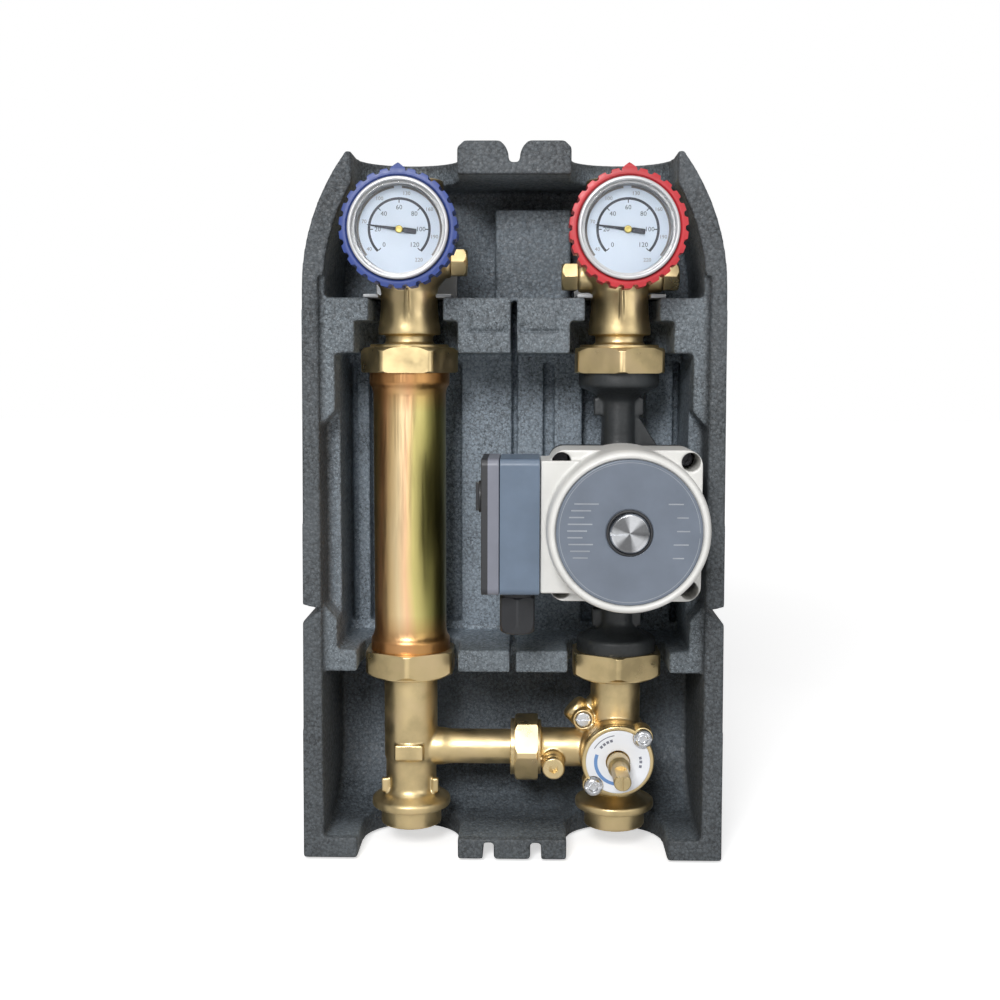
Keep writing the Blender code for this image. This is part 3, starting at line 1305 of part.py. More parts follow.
def rotor_shape():
    """The rotor pack on its shaft, from the impeller to the bearing in the can's front."""
    pack_r = CAN_R - CAN_WALL - ROTOR_GAP
    profile = [
        (0.0, -IMPELLER_BACK),
        (SHAFT_R, -IMPELLER_BACK),
        (SHAFT_R, ROTOR_START),
        (pack_r, ROTOR_START),
        (pack_r, ROTOR_END),
        (SHAFT_R, ROTOR_END),
        (SHAFT_R, CAN_FRONT),
        (0.0, CAN_FRONT),
    ]
    return turned(profile, SIDES_HIDDEN, FORWARD)


def bearing_plate_shape():
    """The plate between pump and motor, with the bearing bush in its middle."""
    bore = SHAFT_R + CLEARANCE
    outer = MOTOR_BORE_R - MOTOR_FIT
    profile = [
        (bore, PLATE_START),
        (outer, PLATE_START),
        (outer, PLATE_START + PLATE_THICKNESS),
        (bore + BEARING_WALL, PLATE_START + PLATE_THICKNESS),
        (bore + BEARING_WALL, BEARING_END),
        (bore, BEARING_END),
    ]
    return turned(profile, SIDES_HIDDEN, FORWARD)


def can_shape():
    """The thin can round the rotor, with its flange on the bearing plate."""
    bore = CAN_R - CAN_WALL
    profile = [
        (bore, CAN_START),
        (MOTOR_BORE_R - MOTOR_FIT, CAN_START),
        (MOTOR_BORE_R - MOTOR_FIT, CAN_START + CAN_WALL),
        (CAN_R, CAN_START + CAN_WALL),
        (CAN_R, CAN_FRONT),
        (SHAFT_R + CLEARANCE, CAN_FRONT),
        (SHAFT_R + CLEARANCE, CAN_FRONT - CAN_END),
        (bore, CAN_FRONT - CAN_END),
    ]
    return turned(profile, SIDES_HIDDEN, FORWARD)


def vent_screw_shape():
    """The slotted vent screw in the middle of the label."""
    head_back = LABEL_FRONT + CLEARANCE
    head_front = head_back + VENT_HEAD
    edge = VENT_HEAD / 4
    profile = [
        (0.0, MOTOR_INNER_FRONT - VENT_STUB_R),
        (VENT_STUB_R, MOTOR_INNER_FRONT - VENT_STUB_R),
        (VENT_STUB_R, head_back),
        (VENT_HEAD_R, head_back),
        (VENT_HEAD_R, head_front - edge),
        (VENT_HEAD_R - edge, head_front),
        (0.0, head_front),
    ]
    shape = turned(profile, SIDES_LARGE, FORWARD)
    wide = 2 * VENT_HEAD_R
    slot = box((-wide, -2 * head_front, -VENT_SLOT / 2), (wide, -head_front + VENT_SLOT, VENT_SLOT / 2))
    return cut(shape, slot)


def box_outline(inset):
    """The terminal box's rounded outline in the YZ plane, drawn in by an inset."""
    low = (-BOX_BACK - BOX_WIDTH + inset, -BOX_HALF_HEIGHT + inset)
    high = (-BOX_BACK - inset, BOX_HALF_HEIGHT - inset)
    return rounded_rectangle(low, high, BOX_CORNER_R)


def make_terminal_box(carrier):
    """The wiring box on the motor's left, with its lid, speed selector and cable gland."""
    shell = prism(box_outline(0.0), -BOX_END, -BOX_START, "yz")
    cavity = prism(box_outline(BOX_WALL), -2 * BOX_END, -BOX_START - BOX_WALL, "yz")
    gland_x = -(BOX_START + BOX_WALL + BOX_END) / 2
    gland_place = (gland_x, -BOX_MIDDLE_Y, -BOX_HALF_HEIGHT)
    hole_top = BOX_WALL + GLAND_STUB_R
    gland_hole = rod(GLAND_STUB_R + CLEARANCE, -GLAND_STUB_R, hole_top, SIDES_SMALL, UP, gland_place)
    piece("terminal_box", cut(shell, cavity, gland_hole), "box", carrier)
    lid = prism(box_outline(0.0), -LID_END, -LID_START, "yz")
    selector_place = (0.0, -BOX_MIDDLE_Y, SELECTOR_RISE)
    shaft_hole = rod(SELECTOR_SHAFT_R + CLEARANCE, -2 * LID_END, 0.0, SIDES_SMALL, RIGHT, selector_place)
    piece("terminal_box_lid", cut(lid, shaft_hole), "box", carrier)
    gland_profile = [
        (GLAND_BORE_R, BOX_WALL),
        (GLAND_BORE_R, -GLAND_LENGTH - CLEARANCE),
        (GLAND_R - GLAND_EDGE, -GLAND_LENGTH - CLEARANCE),
        (GLAND_R, -GLAND_LENGTH + GLAND_EDGE),
        (GLAND_R, -CLEARANCE),
        (GLAND_STUB_R, -CLEARANCE),
        (GLAND_STUB_R, BOX_WALL),
    ]
    piece("cable_gland", turned(gland_profile, SIDES_SMALL, UP, gland_place), "black", carrier)
    selector_axis = frame_at("speed_selector_axis", selector_place, carrier)
    head_back = LID_END + CLEARANCE
    head_front = head_back + SELECTOR_HEAD
    knob_profile = [
        (0.0, -head_front),
        (SELECTOR_R, -head_front),
        (SELECTOR_R, -head_back),
        (SELECTOR_SHAFT_R, -head_back),
        (SELECTOR_SHAFT_R, -LID_START),
        (0.0, -LID_START),
    ]
    knob = turned(knob_profile, SIDES_SMALL, RIGHT)
    grip_half = SELECTOR_SHAFT_R / 2
    grip_reach = SELECTOR_R - SELECTOR_HEAD / 2
    grip_low = (-head_front - SELECTOR_HEAD, -grip_half, -grip_reach)
    grip_high = (-head_front + SELECTOR_HEAD / 2, grip_half, grip_reach)
    grip = box(grip_low, grip_high)
    piece("speed_selector", join(knob, grip), "black", selector_axis)


def make_pump():
    place = (FLOW_X, -AXIS_DEPTH, PUMP_Z)
    fixed = frame_at("pump", place)
    spinning = frame_at("pump_rotor_axis", place)
    piece("pump_housing", pump_housing_shape(), "iron", fixed)
    piece("pump_bearing_plate", bearing_plate_shape(), "steel", fixed)
    piece("pump_rotor_can", can_shape(), "steel", fixed)
    stator_start = ROTOR_START + (ROTOR_LENGTH - STATOR_LENGTH) / 2
    stator_end = stator_start + STATOR_LENGTH
    stator_r = MOTOR_BORE_R - MOTOR_FIT
    stator = pipe(CAN_R + CLEARANCE, stator_r, stator_start, stator_end, SIDES_HIDDEN, FORWARD)
    piece("pump_stator", stator, "copper", fixed)
    piece("motor_housing", motor_housing_shape(), "cream", fixed)
    label_back = LABEL_BACK + CLEARANCE
    label = pipe(VENT_STUB_R + CLEARANCE, LABEL_R, label_back, LABEL_FRONT, SIDES_LARGE, FORWARD)
    piece("motor_label_plate", label, "label", fixed)
    piece("motor_vent_screw", vent_screw_shape(), "chrome", fixed)
    make_terminal_box(fixed)
    piece("pump_impeller", impeller_shape(), "steel", spinning)
    piece("pump_rotor", rotor_shape(), "steel", spinning)


def side_x(z):
    """Half the shell's width at a height, with the draft of its sides."""
    shoulder_z = SHELL_TOP_Z - SHOULDER_DROP
    share = (z - SHELL_BOTTOM_Z) / (shoulder_z - SHELL_BOTTOM_Z)
    return SHELL_HALF - SIDE_DRAFT * min(max(share, 0.0), 1.0)


def shoulder_arc(inset, steps=8):
    """The round shoulder of the right side, from the side up to the top, drawn in by an inset."""
    radius = (SHOULDER_INSET ** 2 + SHOULDER_DROP ** 2) / (2 * SHOULDER_INSET)
    sweep = math.degrees(math.asin(SHOULDER_DROP / radius))
    side = side_x(SHELL_TOP_Z)
    centre = (side - radius, SHELL_TOP_Z - SHOULDER_DROP)
    return arc(centre, radius - inset, 0.0, sweep, steps)


def mirrored(points):
    """The same points on the left, in reverse order."""
    return [(-x, z) for x, z in reversed(points)]


def shell_outline():
    """The block seen from the front: feet, side notches, drafted sides and round shoulders."""
    notch_top = PUMP_Z - SIDE_NOTCH_DROP
    notch_low = notch_top - SIDE_NOTCH_HEIGHT
    apex = notch_top - SIDE_NOTCH_HEIGHT / 4
    right = [
        (SHELL_HALF, SHELL_BOTTOM_Z),
        (side_x(notch_low), notch_low),
        (side_x(apex) - SIDE_NOTCH_DEPTH, apex),
        (side_x(notch_top), notch_top),
    ]
    right.extend(shoulder_arc(0.0))
    return right + mirrored(right)


def chamber_top_outline():
    """The upper chamber: its round shoulders follow the outside at the wall's thickness."""
    top = SHELL_TOP_Z - SHELL_END_WALL
    right = [(side_x(UPPER_WALL_TOP_Z) - SHELL_WALL, UPPER_WALL_TOP_Z)]
    for x, z in shoulder_arc(SHELL_WALL):
        if z < top - CLEARANCE:
            right.append((x, z))
    right.append((right[-1][0] - CLEARANCE, top))
    return right


def make_rear_shell():
    """The foam half that holds everything: three chambers, two cross walls and the pipe passages."""
    front = -SHELL_DEPTH
    past = front - SHELL_WALL
    floor = -SHELL_BACK
    low_z = SHELL_BOTTOM_Z + SHELL_END_WALL
    upper_low = UPPER_PORT_Z + UPPER_WALL_LOW
    lower_top = LOWER_PORT_Z + LOWER_WALL_TOP
    lower_low = LOWER_PORT_Z - LOWER_WALL_LOW
    inner = SHELL_HALF - SHELL_WALL
    middle = inner - LEDGE_WIDTH
    passage_back = -AXIS_DEPTH + PASSAGE_R
    block = prism(shell_outline(), front, 0.0)
    tabs = []
    tab_end = FLOW_X - PASSAGE_R
    for side in (-1.0, 1.0):
        near, far = sorted((side * TAB_GAP / 2, side * tab_end))
        tab_low = (near, front, SHELL_TOP_Z - SHELL_END_WALL / 2)
        tab_high = (far, passage_back, SHELL_TOP_Z + TAB_HEIGHT)
        tabs.append(box(tab_low, tab_high))
    block = join(block, *tabs)

    upper = chamber_top_outline()
    panel_top = SHELL_TOP_Z - SHELL_END_WALL - PANEL_TOP_GAP
    deep_upper = [(PANEL_RIGHT, panel_top), (PANEL_RIGHT, UPPER_WALL_TOP_Z)] + upper
    deep_upper += mirrored(upper) + [(-PANEL_LEFT, UPPER_WALL_TOP_Z), (-PANEL_LEFT, panel_top)]
    cavities = [
        prism(upper + mirrored(upper), past, -PANEL_DEPTH),
        prism(deep_upper, past, floor),
        box((-middle, past, lower_top), (middle, -PAD_DEPTH, upper_low)),
    ]
    trough_centre = (floor - TROUGH_R, low_z + TROUGH_R)
    lower = arc(trough_centre, TROUGH_R, 270.0, 360.0, TROUGH_STEPS)
    lower += [(floor, lower_low), (past, lower_low), (past, low_z)]
    cavities.append(prism(lower, -inner, inner, "yz"))

    ledge_front = front + CROSS_WALL_RECESS
    ledge_top = UPPER_WALL_TOP_Z + SHELL_WALL
    cavities.append(box((-inner, past, low_z + SHELL_END_WALL), (inner, ledge_front, ledge_top)))
    recess_low = PUMP_Z - RECESS_HALF
    recess_top = PUMP_Z + RECESS_HALF
    for side in (-1.0, 1.0):
        recess = [
            (side * (middle - CLEARANCE), recess_low - RECESS_SLOPE),
            (side * inner, recess_low),
            (side * inner, recess_top),
            (side * (middle - CLEARANCE), recess_top + RECESS_SLOPE),
        ]
        cavities.append(prism(recess, past, front + CROSS_WALL_RECESS + LEDGE_DROP))
        near, far = sorted((side * (middle - PAD_INSET), side * (middle - CLEARANCE)))
        cavities.append(box((near, past, lower_top + PAD_INSET), (far, floor, upper_low - PAD_INSET)))
        outer = side_x(PUMP_Z) - RIM_GROOVE_INSET
        near, far = sorted((side * outer, side * (outer - RIM_GROOVE_WIDTH)))
        groove_top = SHELL_TOP_Z - SHOULDER_DROP
        cavities.append(box((near, past, low_z), (far, front + RIM_GROOVE_DEPTH, groove_top)))

    spacer_half = SPACER_R + SPACER_TROUGH_GAP
    for x, half in ((RETURN_X, spacer_half), (FLOW_X, PUMP_TROUGH_HALF)):
        trough_low = (x - half, past, lower_top + PAD_INSET)
        cavities.append(box(trough_low, (x + half, floor, upper_low - PAD_INSET)))
    lug_low = UPPER_WALL_TOP_Z - UPPER_LUG
    for x in (RETURN_X, FLOW_X):
        wide = slot_outline(x, PASSAGE_R, past)
        narrow = slot_outline(x, NECK_PASSAGE_R, past)
        cavities.append(prism(wide, SHELL_BOTTOM_Z - SHELL_WALL, low_z + TROUGH_R / 2, "xy"))
        cavities.append(prism(wide, lower_low - SHELL_WALL, lug_low, "xy"))
        cavities.append(prism(narrow, lug_low - SHELL_WALL, UPPER_WALL_TOP_Z + SHELL_WALL, "xy"))
        cavities.append(prism(wide, SHELL_TOP_Z - 2 * SHELL_END_WALL, SHELL_TOP_Z + 2 * TAB_HEIGHT, "xy"))

    slot_half = CENTRE_SLOT / 2
    slot_floor = -(SHELL_BACK + PAD_DEPTH) / 2
    slot_low = (-slot_half, past, lower_low - SHELL_WALL)
    cavities.append(box(slot_low, (slot_half, slot_floor, UPPER_WALL_TOP_Z + CLEARANCE)))
    side_low = SIDE_SLOT_X - SIDE_SLOT_WIDTH / 2
    side_high = SIDE_SLOT_X + SIDE_SLOT_WIDTH / 2
    cavities.append(box((side_low, past, PUMP_Z), (side_high, slot_floor, upper_low - PAD_INSET)))
    tab_slot = [
        (-TAB_GAP / 2, SHELL_TOP_Z + 2 * TAB_HEIGHT),
        (-TAB_GAP / 3, SHELL_TOP_Z - TAB_HEIGHT),
        (TAB_GAP / 3, SHELL_TOP_Z - TAB_HEIGHT),
        (TAB_GAP / 2, SHELL_TOP_Z + 2 * TAB_HEIGHT),
    ]
    cavities.append(prism(tab_slot, past, passage_back))
    for side in (-1.0, 1.0):
        inside = FOOT_SLOT_X - FOOT_SLOT_WIDTH / 2
        outside = FOOT_SLOT_X + FOOT_SLOT_WIDTH / 2
        near, far = sorted((side * inside, side * outside))
        foot_low = (near, past, SHELL_BOTTOM_Z - SHELL_WALL)
        cavities.append(box(foot_low, (far, passage_back, SHELL_BOTTOM_Z + FOOT_SLOT_RISE)))
    for cavity in cavities:
        block = cut(block, cavity)
    piece("rear_shell", block, "foam")


def make_bracket(side, x):
    """The angle plate on the shell's back wall whose fork holds a valve's neck."""
    carrier = frame_at(f"{side}_bracket", (x, 0.0, BRACKET_Z))
    back = -SHELL_BACK - CLEARANCE
    tip = -AXIS_DEPTH - BRACKET_REACH
    fork = box((-BRACKET_HALF, tip, 0.0), (BRACKET_HALF, back, BRACKET_SHEET))
    upright_low = (-BRACKET_HALF, back - BRACKET_SHEET, BRACKET_SHEET / 2)
    upright = box(upright_low, (BRACKET_HALF, back, BRACKET_HEIGHT))
    fork_outline = slot_outline(0.0, VALVE_NECK_R + CLEARANCE, 2 * tip)
    slot = prism(fork_outline, -BRACKET_SHEET, 2 * BRACKET_SHEET, "xy")
    hole = rod(BRACKET_HOLE_R, 0.0, 2 * SHELL_BACK, SIDES_SMALL, FORWARD, (0.0, 0.0, BRACKET_HOLE_RISE))
    piece(f"{side}_valve_bracket", cut(join(fork, upright), slot, hole), "zinc", carrier)


def main():
    clear_scene()
    make_rear_shell()
    for side, x in (("return", RETURN_X), ("flow", FLOW_X)):
        make_bracket(side, x)
    make_valve("return", RETURN_X, "blue", RETURN_PLUG_DROP, {"return_valve_plug": 1.0})
    flow_plugs = {"flow_valve_plug_left": -1.0, "flow_valve_plug_right": 1.0}
    make_valve("flow", FLOW_X, "red", FLOW_PLUG_DROP, flow_plugs)
    make_large_union("return", "upper", RETURN_X, UPPER_PORT_Z, 1.0, HEXAGON_FLAT_FIRST)
    make_large_union("return", "lower", RETURN_X, LOWER_PORT_Z, -1.0, HEXAGON_EDGE_FIRST)
    make_large_union("flow", "upper", FLOW_X, UPPER_PORT_Z, 1.0, HEXAGON_EDGE_FIRST)
    make_large_union("flow", "lower", FLOW_X, LOWER_PORT_Z, -1.0, HEXAGON_EDGE_FIRST)
    make_cross_union()
    make_spacer_pipe()
    make_return_tee()
    make_mixing_valve()
    make_pump()


main()
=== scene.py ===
"""Looks of the heating pump station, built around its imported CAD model.

Units are metres, +Z is up, +X is to the right and +Y runs into the wall.
"""
import json
import math
from collections import namedtuple

import bpy
from mathutils import Matrix, Vector


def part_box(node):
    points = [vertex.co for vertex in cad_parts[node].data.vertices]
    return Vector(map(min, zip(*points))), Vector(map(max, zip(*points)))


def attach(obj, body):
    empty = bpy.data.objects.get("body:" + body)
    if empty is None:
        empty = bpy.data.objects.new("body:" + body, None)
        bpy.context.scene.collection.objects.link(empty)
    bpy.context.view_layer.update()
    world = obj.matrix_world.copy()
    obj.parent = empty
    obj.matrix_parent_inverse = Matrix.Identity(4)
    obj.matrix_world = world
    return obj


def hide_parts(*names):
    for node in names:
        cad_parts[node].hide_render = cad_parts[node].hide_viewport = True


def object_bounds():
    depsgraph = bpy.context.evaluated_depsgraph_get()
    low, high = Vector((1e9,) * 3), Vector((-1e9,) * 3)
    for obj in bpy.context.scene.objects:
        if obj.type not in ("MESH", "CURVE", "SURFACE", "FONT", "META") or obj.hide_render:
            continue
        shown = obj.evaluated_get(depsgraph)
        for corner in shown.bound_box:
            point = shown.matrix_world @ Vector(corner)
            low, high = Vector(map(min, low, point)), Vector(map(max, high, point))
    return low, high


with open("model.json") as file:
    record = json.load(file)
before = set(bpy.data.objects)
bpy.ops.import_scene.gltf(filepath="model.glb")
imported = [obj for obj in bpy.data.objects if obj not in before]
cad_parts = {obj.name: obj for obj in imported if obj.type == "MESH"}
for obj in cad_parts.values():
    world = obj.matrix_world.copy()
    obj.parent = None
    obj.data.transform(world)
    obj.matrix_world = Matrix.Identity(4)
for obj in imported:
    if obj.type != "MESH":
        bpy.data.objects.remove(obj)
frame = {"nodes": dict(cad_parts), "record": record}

bl_info = {
    "name": "Heating pump station looks",
    "version": (1, 0, 0),
    "blender": (4, 5, 0),
    "location": "View3D > Sidebar > Pump station",
    "description": "Models and finishes the visible pieces of a mixed-circuit heating pump station",
    "category": "Add Mesh",
}

CAD_BOX = [list(corner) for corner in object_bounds()]
MM = 0.001


def centre(node):
    """The middle of a CAD node's box."""
    low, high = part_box(node)
    return (Vector(low) + Vector(high)) / 2


def low_of(node):
    return Vector(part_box(node)[0])


def high_of(node):
    return Vector(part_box(node)[1])


JOINT_PLACES = {joint["name"]: Vector(joint["pos_m"]) for joint in frame["record"]["behaviour"]["joints"]}
RETURN_BALL = JOINT_PLACES["return_handle_turn"]
FLOW_BALL = JOINT_PLACES["flow_handle_turn"]
PUMP_MIDDLE = JOINT_PLACES["pump_rotor_spin"]
MIX_MIDDLE = JOINT_PLACES["mixing_spindle_turn"]
BYPASS_PLACE = JOINT_PLACES["bypass_screw_turn"]
SELECTOR_PLACE = JOINT_PLACES["speed_selector_turn"]
RETURN_X = RETURN_BALL.x
FLOW_X = FLOW_BALL.x
AXIS_Y = RETURN_BALL.y
CROSS_Z = MIX_MIDDLE.z
UPPER_PORT_Z = high_of("spacer_pipe").z
LOWER_PORT_Z = low_of("spacer_pipe").z

ORIGIN = (0.0, 0.0, 0.0)
# Turns that take a piece drawn along +Z to where it points
UPWARD = (0.0, 0.0, 0.0)
DOWNWARD = (math.pi, 0.0, 0.0)
TO_VIEWER = (math.pi / 2, 0.0, 0.0)
TO_RIGHT = (0.0, math.pi / 2, 0.0)
TO_LEFT = (0.0, -math.pi / 2, 0.0)

ROOT_BODY = "station"
MERGE_GAP = 1e-6
CORNER_STEPS = 4
# Most of an edge that the rounding of one of its corners takes up
CORNER_SHARE = 0.48
EDGE_STEPS = 2
CAST_SMOOTHING = 0.5
SMOOTH_ANGLE = math.radians(32.0)
CAST_ANGLE = math.radians(60.0)
FLAT_ANGLE = math.radians(0.6)
# Gaps in millimetres that are closed in a copy of a CAD mesh, and in one whose edges are then rounded
CAD_WELD = 0.05
REFINED_WELD = 0.3
FULL_TURN = 2 * math.pi
# Sides of turned shapes, from large to small
FINE = 128
LARGE = 96
MIDDLING = 64
SMALL = 48
TINY = 32
COARSE = 24


def deselect():
    """Leaves edit mode and clears the selection, so that a new primitive is alone."""
    if bpy.context.mode != "OBJECT":
        bpy.ops.object.mode_set(mode="OBJECT")
    bpy.ops.object.select_all(action="DESELECT")


def choose(piece):
    deselect()
    piece.select_set(True)
    bpy.context.view_layer.objects.active = piece
    return piece


def edit(piece):
    """Opens a piece in edit mode with all of it selected."""
    choose(piece)
    bpy.ops.object.mode_set(mode="EDIT")
    bpy.ops.mesh.select_all(action="SELECT")


def settle(piece, place=ORIGIN, turn=UPWARD):
    """Turns a piece into its place and leaves its object at the origin."""
    choose(piece)
    piece.rotation_euler = turn
    piece.location = place
    bpy.ops.object.transform_apply(location=True, rotation=True, scale=True)
    return piece


def apply_step(piece, kind, **values):
    """Adds one modifier to a piece and applies it."""
    choose(piece)
    step = piece.modifiers.new(kind, kind)
    for name, value in values.items():
        setattr(step, name, value)
    bpy.ops.object.modifier_apply(modifier=step.name)
    return piece


def chain(points):
    """Draws a chain of edges in millimetres and stays in edit mode with all of it selected."""
    deselect()
    bpy.ops.mesh.primitive_plane_add(size=MM)
    made = bpy.context.object
    bpy.ops.object.mode_set(mode="EDIT")
    bpy.ops.mesh.select_all(action="SELECT")
    bpy.ops.mesh.merge(type="CENTER")
    here = Vector(points[0]) * MM
    bpy.ops.transform.translate(value=here)
    for point in points[1:]:
        there = Vector(point) * MM
        bpy.ops.mesh.extrude_vertices_move(TRANSFORM_OT_translate={"value": there - here})
        here = there
    bpy.ops.mesh.select_all(action="SELECT")
    bpy.ops.mesh.remove_doubles(threshold=MERGE_GAP)
    return made


def soft_profile(points):
    """A profile whose corners are rounded where a third value gives the radius."""
    result = []
    for index, corner in enumerate(points):
        here = Vector(corner[:2])
        if len(corner) == 2:
            result.append(tuple(here))
            continue
        back = Vector(points[index - 1][:2]) - here
        ahead = Vector(points[(index + 1) % len(points)][:2]) - here
        reach = min(corner[2], back.length * CORNER_SHARE, ahead.length * CORNER_SHARE)
        start = here + back.normalized() * reach
        end = here + ahead.normalized() * reach
        for step in range(CORNER_STEPS + 1):
            share = step / CORNER_STEPS
            point = start * (1 - share) ** 2 + here * 2 * share * (1 - share) + end * share ** 2
            result.append(tuple(point))
    return result


def rod(radius, low, high):
    """The profile of a plain round bar."""
    return [(radius, low), (radius, high)]


def spun(name, profile, place=ORIGIN, turn=UPWARD, steps=MIDDLING, ring=False):
    """Spins a profile of (radius, height, corner) in millimetres about its axis.

    A ring's profile closes on itself, and any other is closed along the axis.
    """
    if ring:
        points = soft_profile(profile)
        points.append(points[0])
    else:
        ends = [[(0.0, end[1])] if end[0] else [] for end in (profile[0], profile[-1])]
        points = soft_profile(ends[0] + list(profile) + ends[1])
    made = chain([(radius, 0.0, height) for radius, height in points])
    bpy.ops.mesh.spin(steps=steps, angle=FULL_TURN, center=ORIGIN, axis=(0.0, 0.0, 1.0))
    bpy.ops.mesh.select_all(action="SELECT")
    bpy.ops.mesh.remove_doubles(threshold=MERGE_GAP)
    bpy.ops.mesh.normals_make_consistent(inside=False)
    bpy.ops.object.mode_set(mode="OBJECT")
    made.name = name
    return settle(made, place, turn)


def slab(name, outline, thickness, place=ORIGIN, turn=UPWARD):
    """A flat outline in millimetres, drawn point by point, filled and raised to a thickness."""
    made = chain([(x, y, 0.0) for x, y in list(outline) + [outline[0]]])
    bpy.ops.mesh.edge_face_add()
    bpy.ops.mesh.extrude_region_move(TRANSFORM_OT_translate={"value": (0.0, 0.0, thickness * MM)})
    bpy.ops.mesh.select_all(action="SELECT")
    bpy.ops.mesh.normals_make_consistent(inside=False)
    bpy.ops.object.mode_set(mode="OBJECT")
    made.name = name
    return settle(made, place, turn)


def added(maker, name, **values):
    """Makes one object with nothing else selected and names it."""
    deselect()
    maker(**values)
    bpy.context.object.name = name
    return bpy.context.object


def softened(piece, edge):
    """Rounds all edges of a plain shape by millimetres in edit mode."""
    if edge:
        edit(piece)
        bpy.ops.mesh.bevel(offset=edge * MM, offset_type="OFFSET", segments=EDGE_STEPS, affect="EDGES")
        bpy.ops.object.mode_set(mode="OBJECT")
    return piece


def block(name, low, high, place=ORIGIN, edge=0.0):
    """A box between two corners in millimetres about a place, with its edges rounded."""
    low = Vector(low) * MM
    high = Vector(high) * MM
    middle = Vector(place) + (low + high) / 2
    made = added(bpy.ops.mesh.primitive_cube_add, name, size=1.0, location=middle, scale=high - low)
    bpy.ops.object.transform_apply(location=True, rotation=True, scale=True)
    return softened(made, edge)


def hexagon(name, flats, length, edge, place=ORIGIN, turn=UPWARD):
    """A hexagon bar, sized in millimetres, with its edges broken."""
    sizes = {"radius": flats * MM / math.sqrt(3.0), "depth": length * MM}
    made = added(bpy.ops.mesh.primitive_cylinder_add, name, vertices=6, **sizes)
    settle(made, (0.0, 0.0, length * MM / 2))
    return settle(softened(made, edge), place, turn)


def discard(piece):
    bpy.data.objects.remove(piece, do_unlink=True)


def copied(piece, name, place, turn=UPWARD):
    """A copy, with a mesh of its own, of a shape that was made about the origin."""
    choose(piece)
    bpy.ops.object.duplicate()
    bpy.context.object.name = name
    return settle(bpy.context.object, place, turn)


def carve(base, *tools, operation="DIFFERENCE"):
    """Cuts, joins or crosses a piece with others, which are used up."""
    for tool in tools:
        apply_step(base, "BOOLEAN", operation=operation, solver="EXACT", object=tool)
        discard(tool)
    return base


def fuse(base, *others):
    return carve(base, *others, operation="UNION")


def bore(base, *shape, **more):
    """Cuts out a turned shape, given as spun takes it after its name."""
    return carve(base, spun("bore", *shape, **more))


def grow(base, *shape, **more):
    """Joins on a turned shape, given as spun takes it after its name."""
    return fuse(base, spun("boss", *shape, **more))


def turn_down(base, *shape, **more):
    """Keeps what lies within a turned shape, given as spun takes it after its name."""
    return carve(base, spun("envelope", *shape, **more), operation="INTERSECT")


def gather(name, pieces):
    """Joins separate shapes into one object."""
    choose(pieces[0])
    for other in pieces[1:]:
        other.select_set(True)
    bpy.ops.object.join()
    pieces[0].name = name
    return pieces[0]


def cast(piece, grain, rounds=3, faces=1.0):
    """Gives a joined shape the round inner corners of a casting."""
    apply_step(piece, "REMESH", mode="VOXEL", voxel_size=grain * MM, adaptivity=0.0)
    apply_step(piece, "SMOOTH", factor=CAST_SMOOTHING, iterations=rounds)
    if faces < 1.0:
        apply_step(piece, "DECIMATE", ratio=faces)
    return piece


def copy_of(node, name, weld=CAD_WELD):
    """A copy of a CAD node's mesh with its loose corners merged."""
    made = bpy.data.objects.new(name, frame["nodes"][node].data.copy())
    bpy.context.scene.collection.objects.link(made)
    edit(made)
    bpy.ops.mesh.remove_doubles(threshold=weld * MM)
    bpy.ops.object.mode_set(mode="OBJECT")
    return made


def refined(node, edge, name=None):
    """A copy of a CAD node with its edges rounded by millimetres."""
    made = copy_of(node, name or node + "_shape", REFINED_WELD)
    edit(made)
    bpy.ops.mesh.dissolve_limited(angle_limit=FLAT_ANGLE)
    bpy.ops.object.mode_set(mode="OBJECT")
    corner = {"limit_method": "ANGLE", "angle_limit": SMOOTH_ANGLE}
    return apply_step(made, "BEVEL", width=edge * MM, segments=EDGE_STEPS, **corner)


def dress(piece, coat, slot, *nodes, body=ROOT_BODY, angle=SMOOTH_ANGLE):
    """Shades a finished piece, hangs it on its body and lets it stand for its CAD nodes."""
    choose(piece)
    bpy.ops.object.shade_smooth_by_angle(angle=angle)
    if angle == SMOOTH_ANGLE:
        apply_step(piece, "WEIGHTED_NORMAL", keep_sharp=True)
    piece.data.materials.clear()
    piece.data.materials.append(coat)
    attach(piece, body)
    if nodes:
        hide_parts(*nodes)
    return piece


class Nodes:
    """A node tree in the making."""

    def __init__(self, owner):
        owner.use_nodes = True
        self.tree = owner.node_tree

    def node(self, kind, settings=None, **inputs):
        """Adds a node; settings are its own values and inputs its sockets, by name or linked."""
        made = self.tree.nodes.new(kind)
        for name, value in (settings or {}).items():
            setattr(made, name, value)
        for name, value in inputs.items():
            self.feed(made.inputs[name.replace("_", " ")], value)
        return made

    def feed(self, socket, value):
        if isinstance(value, bpy.types.NodeSocket):
            self.tree.links.new(value, socket)
        else:
            socket.default_value = value

    def fill(self, made, values):
        """Feeds a node's sockets in order and gives its first output."""
        for socket, value in zip(made.inputs, values):
            self.feed(socket, value)
        return made.outputs[0]

    def sum(self, operation, *values):
        """A maths node on values or sockets."""
        return self.fill(self.node("ShaderNodeMath", {"operation": operation}), values)

    def blend(self, factor, first, second):
        """One of two shaders, or a mix of them."""
        return self.fill(self.node("ShaderNodeMixShader"), (factor, first, second))


